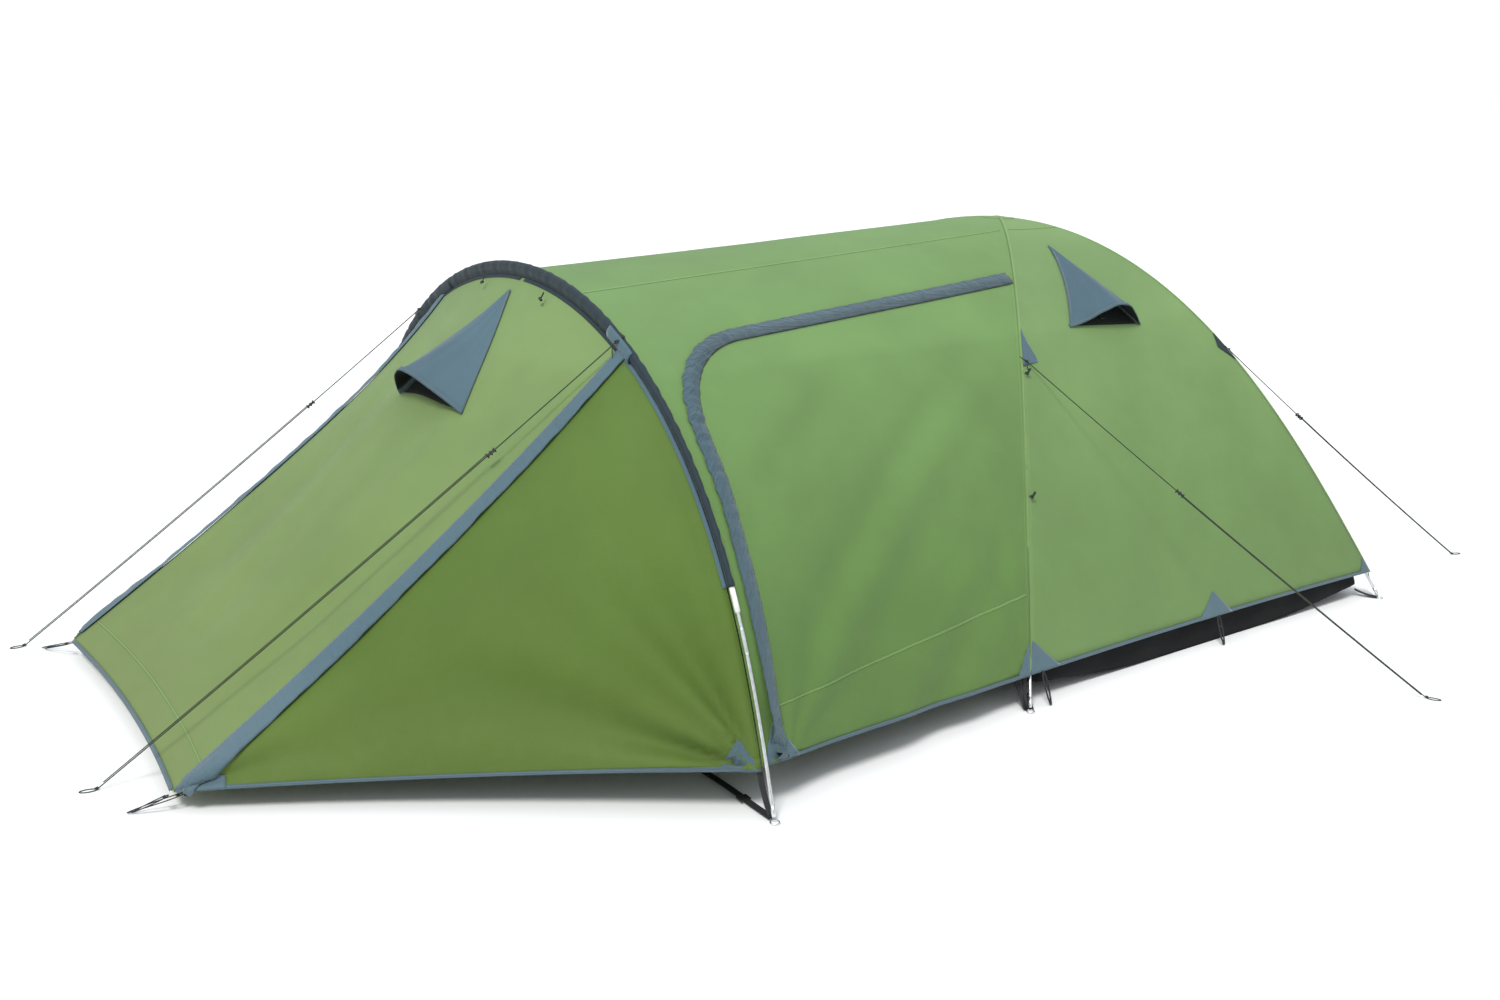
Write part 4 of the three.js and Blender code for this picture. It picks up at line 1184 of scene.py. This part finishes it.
def arch_feet():
    strap_lo, strap_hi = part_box("arch_strap")
    x = (strap_lo[0] + strap_hi[0]) / 2
    z = strap_hi[2]
    y = np.linspace(strap_lo[1], strap_hi[1], 200)
    ripple = 0.0012 * (1 + np.sin(y * 9)) + 0.0006 * np.sin(y * 31)
    line = np.stack([x + 0.003 * np.sin(y * 3.1), y, z + ripple], 1)
    strap = ribbon("arch_strap_webbing", line, (1, 0, 0), 0.020)
    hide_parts("arch_strap")
    as_sheet(strap)
    for sy, label in SIDES:
        foot = arch_leg(sy, vec(0))[0]
        circle = ellipse(foot + vec(0, 0, 0.0028), vec(0.0115, 0, 0), vec(0, 0.0115, 0), 40)
        wire = tube(f"arch_ring_{label}_wire", circle, 0.002, "pole", sides=10, closed=True)
        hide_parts(f"foot_ring_arch_{label}")
        # The tension webbing from the hem's corner patch down to the foot.
        hem = arch_seam(sy, vec(0.066))[0]
        s = np.linspace(0, 1, 18)
        line = mix((hem + vec(-0.004, -sy * 0.01, 0))[None], (foot + vec(0, -sy * 0.016, 0.010))[None], s)
        line = line + vec(0, -sy * 0.006, 0) * bulge(s)[:, None]
        ribbon(f"arch_hem_strap_{label}", line, (1, 0, 0), 0.016)
    centre = cad_box("strap_buckle")[0]
    bar, side = (0.030, 0.0042, 0.0045), (0.0042, 0.026, 0.0046)
    places = ((bar, 0, -0.0105), (bar, 0, 0), (bar, 0, 0.0105), (side, -0.013, 0), (side, 0.013, 0))
    frame_bits = []
    for k, (size, dx, dy) in enumerate(places):
        at = centre + vec(dx, dy, 0)
        frame_bits.append(hardware(f"buckle_bit_{k}", size, 0.0014, "black", at, (1, 0, 0), UP))
    buckle = joined("strap_ladder_buckle", frame_bits, "black")
    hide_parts("strap_buckle")


arch_feet()


# ---- Vents ----
def vent_grid(surface, apex_at, left_at, right_at, u, v, height=None):
    """Places inside a vent's triangle: v runs from its apex down, u from its left corner to its right."""
    place_u = (1 - v) * apex_at[0] + v * ((1 - u) * left_at[0] + u * right_at[0])
    place_t = (1 - v) * apex_at[1] + v * ((1 - u) * left_at[1] + u * right_at[1])
    return surface(place_u, place_t) if height is None else lifted(surface, place_u, place_t, height)


def vent_pieces(name, surface, corners, body, prop_body, lift, skew):
    apex, left, right = (surface(vec(u), vec(t))[0] for u, t in corners)
    out = unit(np.cross(left - apex, right - apex))
    if out.dot(surface.out) < 0:
        out = -out
    down = unit((left + right) / 2 - apex)
    across = unit(right - left)
    u, v = on_grid(np.linspace(0, 1, 52), np.linspace(0.02, 1, 44))
    ridge = np.sin(math.pi * u ** skew) ** 1.15
    crease = 0.0016 * np.sin(u * 31 + v * 4) * v * np.sin(math.pi * u)
    hollow = 0.16 * lift * np.sin(math.pi * np.clip(v, 0, 1)) * np.sin(math.pi * u)
    height = 0.004 + lift * ridge * v ** 1.12 + crease - hollow
    droop = -0.020 * ridge * v ** 6
    points = vent_grid(surface, *corners, u, v) + out * height[..., None] + down * droop[..., None]
    hood = cloth(f"vent_hood_{name}_cloth", points, "trim", body, out, thick=0.0014)
    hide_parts(f"vent_hood_{name}")
    # A near-black sheet just inside the hood, painted shade under it, and the turned lower edge.
    normals = grid_normals(points)
    inner = points - normals * np.sign((normals * out).sum(-1, keepdims=True)) * 0.0019
    hood_shade_sheet = cloth(f"vent_hood_painted_shade_{name}", inner[1:-1, 6:], "net", body, out, thick=0.0008)
    rows = [points[:, -1] - down * 0.013 * k + out * 0.0014 * (1 - k) for k in (1.0, 0.66, 0.33, 0.0)]
    lip = cloth(f"vent_lip_{name}", np.stack(rows, 1), "hem", body, out, thick=0.001)
    net_u, net_v = on_grid(np.linspace(0.03, 0.97, 24), np.linspace(0.3, 0.985, 24))
    on_panel = vent_grid(surface, *corners, net_u, net_v, 0.0014)
    net = cloth(f"vent_net_{name}", on_panel, "net", body, surface.out)
    for k, inside in ((0.0, 1), (1.0, -1)):
        line = vent_grid(surface, *corners, np.full(40, k), np.linspace(0.03, 1, 40), 0.0042)
        rows = [line + across * inside * w for w in (-0.002, 0.003, 0.009)]
        cloth(f"vent_edge_{name}_{int(k)}", np.stack(rows, 1), "hem", body, surface.out)
    for piece in (hood, hood_shade_sheet, lip):
        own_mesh(piece)
    as_sheet(hood)
    as_sheet(hood_shade_sheet)
    as_sheet(net)
    # The stiff folding prop with its hook-and-loop tab.
    tall = lift * 0.80 - 0.0215
    root = (left + right) / 2 * 0.88 + apex * 0.12
    middle = root + out * (0.018 + tall / 2)
    size = (0.016, 0.0034, tall)
    prop = hardware(f"{prop_body}_stay", size, 0.001, "prop", middle, across, out, prop_body)
    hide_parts(prop_body)
    tab_at = root + down * 0.012 + out * 0.0095
    hardware(f"vent_tab_{name}", (0.022, 0.013, 0.004), 0.0012, "black", tab_at, across, out, body)


front_vent = ((0.032, 0.030), (0.262, 0.292), (-0.400, 0.272))
side_vent = ((0.452, 0.790), (0.275, 0.553), (0.659, 0.542))
vent_pieces("front", front_surface, front_vent, "front_panel", "vent_prop_front", 0.096, 0.72)
for vent_sy, vent_label in SIDES:
    vent_pieces(vent_label, side_surface(vent_sy), side_vent, ROOT, f"vent_prop_{vent_label}", 0.080, 1.42)


# ---- Peak cap and crossing clip ----
def peak_pieces():
    """The reinforcement over the crossing, lying on the four panels below it."""
    radius = cad_box("fly_peak")[1][0] / 2 * 0.55
    bpy.context.view_layer.update()
    below = bpy.context.evaluated_depsgraph_get()
    names = ("fly_side_near", "fly_side_far", "fly_rear", "fly_tunnel")
    panels = [bpy.data.objects[f"{name}_cloth"] for name in names]
    trees = [BVHTree.FromObject(panel, below) for panel in panels]
    a, r = on_grid(np.linspace(0, 2 * math.pi, 61), np.linspace(0.004, radius, 16))
    points = np.stack([CROSS_X + r * np.cos(a), r * np.sin(a), 0 * a], -1)
    top = dome_leg(-1, -1, vec(1), FLY_OUT, FLY_UP)[0][2]
    for i, j in np.ndindex(a.shape):
        hits = [tree.ray_cast(Vector((*points[i, j, :2], 2)), Vector((0, 0, -1)))[0] for tree in trees]
        heights = [hit.z for hit in hits if hit is not None]
        points[i, j, 2] = (max(heights) if heights else top) + 0.0012
    cap = cloth("fly_peak_cloth", points, "fly", outward=UP, thick=0.001)
    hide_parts("fly_peak")
    as_sheet(cap)
    z = cad_box("crossing_clip")[0][2]
    circle = ellipse(vec(CROSS_X, 0, z), vec(0.020, 0, 0), vec(0, 0.020, 0), 40)
    rim = tube("crossing_clip_rim", circle, 0.0026, "black", sides=10, closed=True)
    bars = [rim]
    for k in range(2):
        c, s = math.cos(0.93 + 1.28 * k), math.sin(0.93 + 1.28 * k)
        size, at = (0.040, 0.006, 0.004), (CROSS_X, 0, z)
        bars.append(hardware(f"crossing_bar_{k}", size, 0.001, "black", at, (c, s, 0), UP))
    clip = joined("crossing_clip_web", bars, "black")
    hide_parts("crossing_clip")


peak_pieces()


# ---- Floor tub and inner tent ----
TUB_CORNERS = [vec(-0.862, -1.158), vec(0.866, -1.086), vec(0.866, 1.086), vec(-0.862, 1.158)]
TUB_STEPS = 40
TUB_BOW = 0.020


def tub_outline():
    """The floor's plan: corners near the pole feet, and sides that curve in a little between them."""
    points = []
    for k in range(4):
        a, b = TUB_CORNERS[k], TUB_CORNERS[(k + 1) % 4]
        inward = unit(vec(-(b - a)[1], (b - a)[0]))
        s = np.linspace(0, 1, TUB_STEPS, endpoint=False)[:, None]
        points.append(a + (b - a) * s + inward * TUB_BOW * bulge(s))
    outline = np.concatenate(points)
    for _ in range(3):
        outline = 0.5 * outline + 0.25 * (np.roll(outline, 1, 0) + np.roll(outline, -1, 0))
    return outline


def corner_lift(plan):
    """How far the ground sheet is drawn up at its corners by the straps to the pole feet."""
    nearest = np.min([np.linalg.norm(plan - corner, axis=1) for corner in TUB_CORNERS], 0)
    return 0.052 * np.exp(-(nearest / 0.32) ** 2)


def tub_piece():
    """The ground sheet with its raised walls, a little slack between the corners."""
    plan = tub_outline()
    count = len(plan)
    turn = np.arange(count) / count * 2 * math.pi
    size = np.linalg.norm(plan, axis=1, keepdims=True)
    rings = []
    for v in np.linspace(0, 1, 9):
        slack = 0.005 * np.sin(turn * 22) * bulge(v) + 0.003 * np.sin(turn * 57 + 1) * v
        ring = plan * (1 - (0.024 * v + slack[:, None]) / size)
        z = 0.0012 + TUB_H * v - 0.006 * v * np.sin(turn * 22) ** 2 + corner_lift(plan) * (1 - v)
        rings.append(np.stack([CROSS_X + ring[:, 0], ring[:, 1], z], 1))
    verts = np.concatenate(rings).tolist()
    faces = []
    for i, k in np.ndindex(8, count):
        n = (k + 1) % count
        faces.append((i * count + k, i * count + n, (i + 1) * count + n, (i + 1) * count + k))
    previous = 0
    for share in (0.8, 0.6, 0.4, 0.2):
        base = len(verts)
        ring = plan * share
        z = 0.0012 + 0.0012 * (1 + np.sin(turn * 7 + 10 * share)) + corner_lift(ring)
        verts += np.stack([CROSS_X + ring[:, 0], ring[:, 1], z], 1).tolist()
        for k in range(count):
            n = (k + 1) % count
            faces.append((base + k, base + n, previous + n, previous + k))
        previous = base
    faces.append(tuple(previous + k for k in range(count)))
    tub = finish_mesh("floor_tub_cloth", verts, faces, "floor", uvs=np.array(verts)[:, :2])
    bm = bmesh.new()
    bm.from_mesh(tub.data)
    bmesh.ops.recalc_face_normals(bm, faces=bm.faces)
    bm.to_mesh(tub.data)
    bm.free()
    solid = tub.modifiers.new("thickness", "SOLIDIFY")
    solid.thickness = 0.0012
    solid.offset = 0
    bpy.context.view_layer.objects.active = tub
    bpy.ops.object.modifier_apply(modifier="thickness")
    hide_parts("floor_tub")


tub_piece()


INNER_T0 = 0.085
INNER_T1 = 0.93


def inner_surface(foot_a, foot_b):
    def surface(u, v):
        u, v = broad(u, v)
        t = INNER_T0 + (INNER_T1 - INNER_T0) * v
        a, b = inner_leg(*foot_a, t), inner_leg(*foot_b, t)
        edge = 0.004 / np.linalg.norm(a - b, axis=-1)
        p = mix(a, b, edge + (1 - 2 * edge) * u)
        middle = mix(a, b, np.full_like(u, 0.5))
        pull = unit(vec(CROSS_X, 0, 0.3) - middle)
        return p + pull * (bulge(u) * (0.012 + relief(p, 71, 0.004)))[..., None]
    return surface


def inner_tent():
    walls = (("near", (-1, -1), (1, -1), vec(0, -0.8, 0.5)),
             ("rear", (1, -1), (1, 1), vec(0.8, 0, 0.5)),
             ("far", (1, 1), (-1, 1), vec(0, 0.8, 0.5)))
    u, v = on_grid(np.linspace(0, 1, 30), np.linspace(0, 1, 36))
    for label, foot_a, foot_b, out in walls:
        points = inner_surface(foot_a, foot_b)(u, v)
        wall = cloth(f"inner_wall_{label}_cloth", points, "inner", outward=out)
        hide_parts(f"inner_wall_{label}")
        as_sheet(wall)
    front = inner_surface((-1, 1), (-1, -1))
    out = vec(-0.8, 0, 0.5)
    even = np.linspace(0, 1, 51)
    u, v = on_grid(even, even)
    mask = np.ones((50, 50), bool)
    mask[10:40, 5:35] = False
    wall = cloth("inner_wall_front_cloth", front(u, v), "inner", outward=out, mask=mask)
    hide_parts("inner_wall_front")
    as_sheet(wall)
    u, v = on_grid(np.linspace(0.2035, 0.7965, 40), np.linspace(0.1035, 0.6965, 40))
    door = cloth("inner_door_cloth", front(u, v), "inner", "inner_door", out)
    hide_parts("inner_door")
    zip_u = np.concatenate([np.linspace(0.25, 0.8, 40), np.full(30, 0.8), np.linspace(0.8, 0.25, 40)])
    zip_v = np.concatenate([np.full(40, 0.1), np.linspace(0.1, 0.7, 30), np.full(40, 0.7)])
    line = front(zip_u, zip_v) + unit(out) * 0.003
    tube("inner_door_zip", line, 0.0022, "black", sides=6)
    as_sheet(door)


inner_tent()


# ---- Toggles, guy attachments, corner loops ----
def toggle_piece(name):
    centre, size = cad_box(name)
    by_door = name.startswith("door")
    side = np.sign(centre[1])
    axis = unit(vec(0.35, 0.25 * side, 1) if by_door else vec(0.1, 1, -0.3 * side))
    reach = float(max(size)) / 2 * (0.85 if by_door else 0.6)
    places = np.array([-1, -0.92, -0.75, -0.25, 0.0, 0.25, 0.75, 0.92, 1.0])
    radius = np.array([0.0012, 0.003, 0.0042, 0.0040, 0.0031, 0.0040, 0.0042, 0.003, 0.0012])
    bar = tube(f"{name}_bar", centre + axis * (places * reach)[:, None], radius, "black", sides=14)
    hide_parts(name)
    toward = vec(-0.2, -side, -0.5) if by_door else vec(0.6, 0, 1)
    end = centre + unit(toward) * (0.016 if by_door else 0.022)
    k = np.linspace(0, 1, 12)
    loops = []
    for offset in (-0.002, 0.002):
        line = mix(centre[None], end[None], k) + axis * offset
        loops.append(tube(f"{name}_loop{offset}", line, 0.0012, "elastic", sides=8))
    joined(f"{name}_loops", loops, "elastic")


for _, toggle_label in SIDES:
    for toggle_name in ("door_toggle_{}_1", "door_toggle_{}_2", "arch_toggle_{}"):
        toggle_piece(toggle_name.format(toggle_label))


def arch_patch(sy, label):
    """The four-sided patch that ties the sleeve, the zip's end and the guy line together."""
    t = np.linspace(0.735, 0.668, 12)
    # The far patch gets the dark sleeve cloth as painted shade; it is the same cloth as the near patch, seen
    # on its shaded side.
    kind = "trim" if sy < 0 else "sleeve"
    on_sleeve = arch_leg(sy, t, 0.0165)
    low = arch_leg(sy, t, -0.029)
    ahead = vec(-1, 0, 0)
    rows = []
    for k in np.linspace(0, 1, 7):
        over = 0.015 * math.sin(math.pi * min(1, 0.18 + k * 0.72))
        rows.append(on_sleeve * (1 - k) + low * k + ahead * over)
    out = vec(-1, sy * 0.3, 0.3)
    cloth(f"guy_patch_arch_{label}", np.stack(rows, 1), kind, outward=out)


def guy_attachments():
    for sy, label in SIDES:
        # A triangular patch on the front pole's seam with a webbing loop for the guy line.
        surface = side_surface(sy)
        side_patch = ((0.078, 0.492), (0.004, 0.560), (0.004, 0.487))
        rear_patch = ((0.962, 0.475), (0.996, 0.505), (0.996, 0.445))
        patch(f"guy_patch_side_{label}", surface, *side_patch, height=0.003)
        patch(f"guy_patch_rear_{label}", surface, *rear_patch, "sleeve", 0.003)
        arch_patch(sy, label)
        for end_label in (f"arch_{label}", f"side_{label}", f"rear_{label}"):
            start, end, _ = guy_ends[end_label]
            direction = unit(end - start)
            side = unit(np.cross(direction, UP))
            s = np.linspace(0, 1, 10)
            rows = start + direction * (-0.004 + 0.026 * s)[:, None]
            grid = np.stack([rows + side * w * (1 - 0.5 * s)[:, None] for w in (-0.008, 0.0, 0.008)], 1)
            cloth(f"guy_loop_{end_label}", grid, "strap", outward=UP, thick=0.0018)


guy_attachments()


def front_loops():
    """Two elastic loops at each front corner, drawn forward and down to the peg."""
    for sy, label in SIDES:
        corner = front_corner[sy]
        bits = []
        peg_from_corner = vec(-0.082, 0.036, 0) if sy < 0 else vec(-0.056, 0.105, 0)
        for k, shift in enumerate((0.0, 0.03)):
            start = corner + vec(1.2 * shift - 0.004, sy * 0.25 * shift, -0.006)
            end = corner + peg_from_corner * (1 + 0.12 * k)
            end[2] = 0.004
            across = unit(np.cross(end - start, UP))
            points = long_loop(start, end, across, 0.0085, 0.003, 40)
            bits.append(tube(f"front_loop_{label}_{k}", points, 0.0014, "elastic", sides=8, closed=True))
            bits.append(knot_piece(f"front_knot_{label}_{k}", mix(start, end, 0.125), 0.0042, "elastic"))
        joined(f"front_loops_{label}", bits, "elastic")
        hem = fly_leg(-1, sy, vec(HEM_T))[0]
        peg_loop(f"side_corner_loop_{label}", hem + vec(0.05, 0, 0.0), vec(0.2, sy, 0))


front_loops()


# ---- Stage and light ----
def stage():
    bpy.ops.mesh.primitive_plane_add(size=400, location=(0, 0, 0))
    floor = bpy.context.object
    floor.name = "stage_floor"
    pale = {"Base Color": (0.90, 0.90, 0.895, 1), "Roughness": 0.9}
    floor.data.materials.append(material("stage", lambda tree, point, uv: {}, pale))
    world = bpy.data.worlds.new("studio")
    world.use_nodes = True
    tree = world.node_tree
    # A pale surround that is brighter overhead, seen as plain white by the camera.
    direction = node(tree, "ShaderNodeTexCoord", {}).outputs["Generated"]
    height = node(tree, "ShaderNodeSeparateXYZ", {0: direction}).outputs["Z"]
    shade = ramp(tree, height, ((0.0, (0.42, 0.44, 0.43)), (0.9, (0.86, 0.93, 1.0))))
    surround = tree.nodes["Background"]
    set_inputs(tree, surround, {"Color": shade})
    white = node(tree, "ShaderNodeBackground", {"Color": (1, 1, 1, 1), "Strength": 1.0})
    seen = node(tree, "ShaderNodeLightPath", {}).outputs["Is Camera Ray"]
    choose = node(tree, "ShaderNodeMixShader", {0: seen, 1: surround.outputs[0], 2: white.outputs[0]})
    tree.links.new(choose.outputs[0], tree.nodes["World Output"].inputs["Surface"])
    bpy.context.scene.world = world
    sun = bpy.data.lights.new("soft_key", "SUN")
    sun.energy = 2.3
    sun.angle = math.radians(16)
    sun.color = (1.0, 0.985, 0.95)
    lamp = bpy.data.objects.new("soft_key", sun)
    lamp.rotation_euler = Vector((0.55, 0.38, -1.0)).to_track_quat("-Z", "Y").to_euler()
    bpy.context.collection.objects.link(lamp)
    bpy.context.scene.view_settings.view_transform = "Standard"


stage()
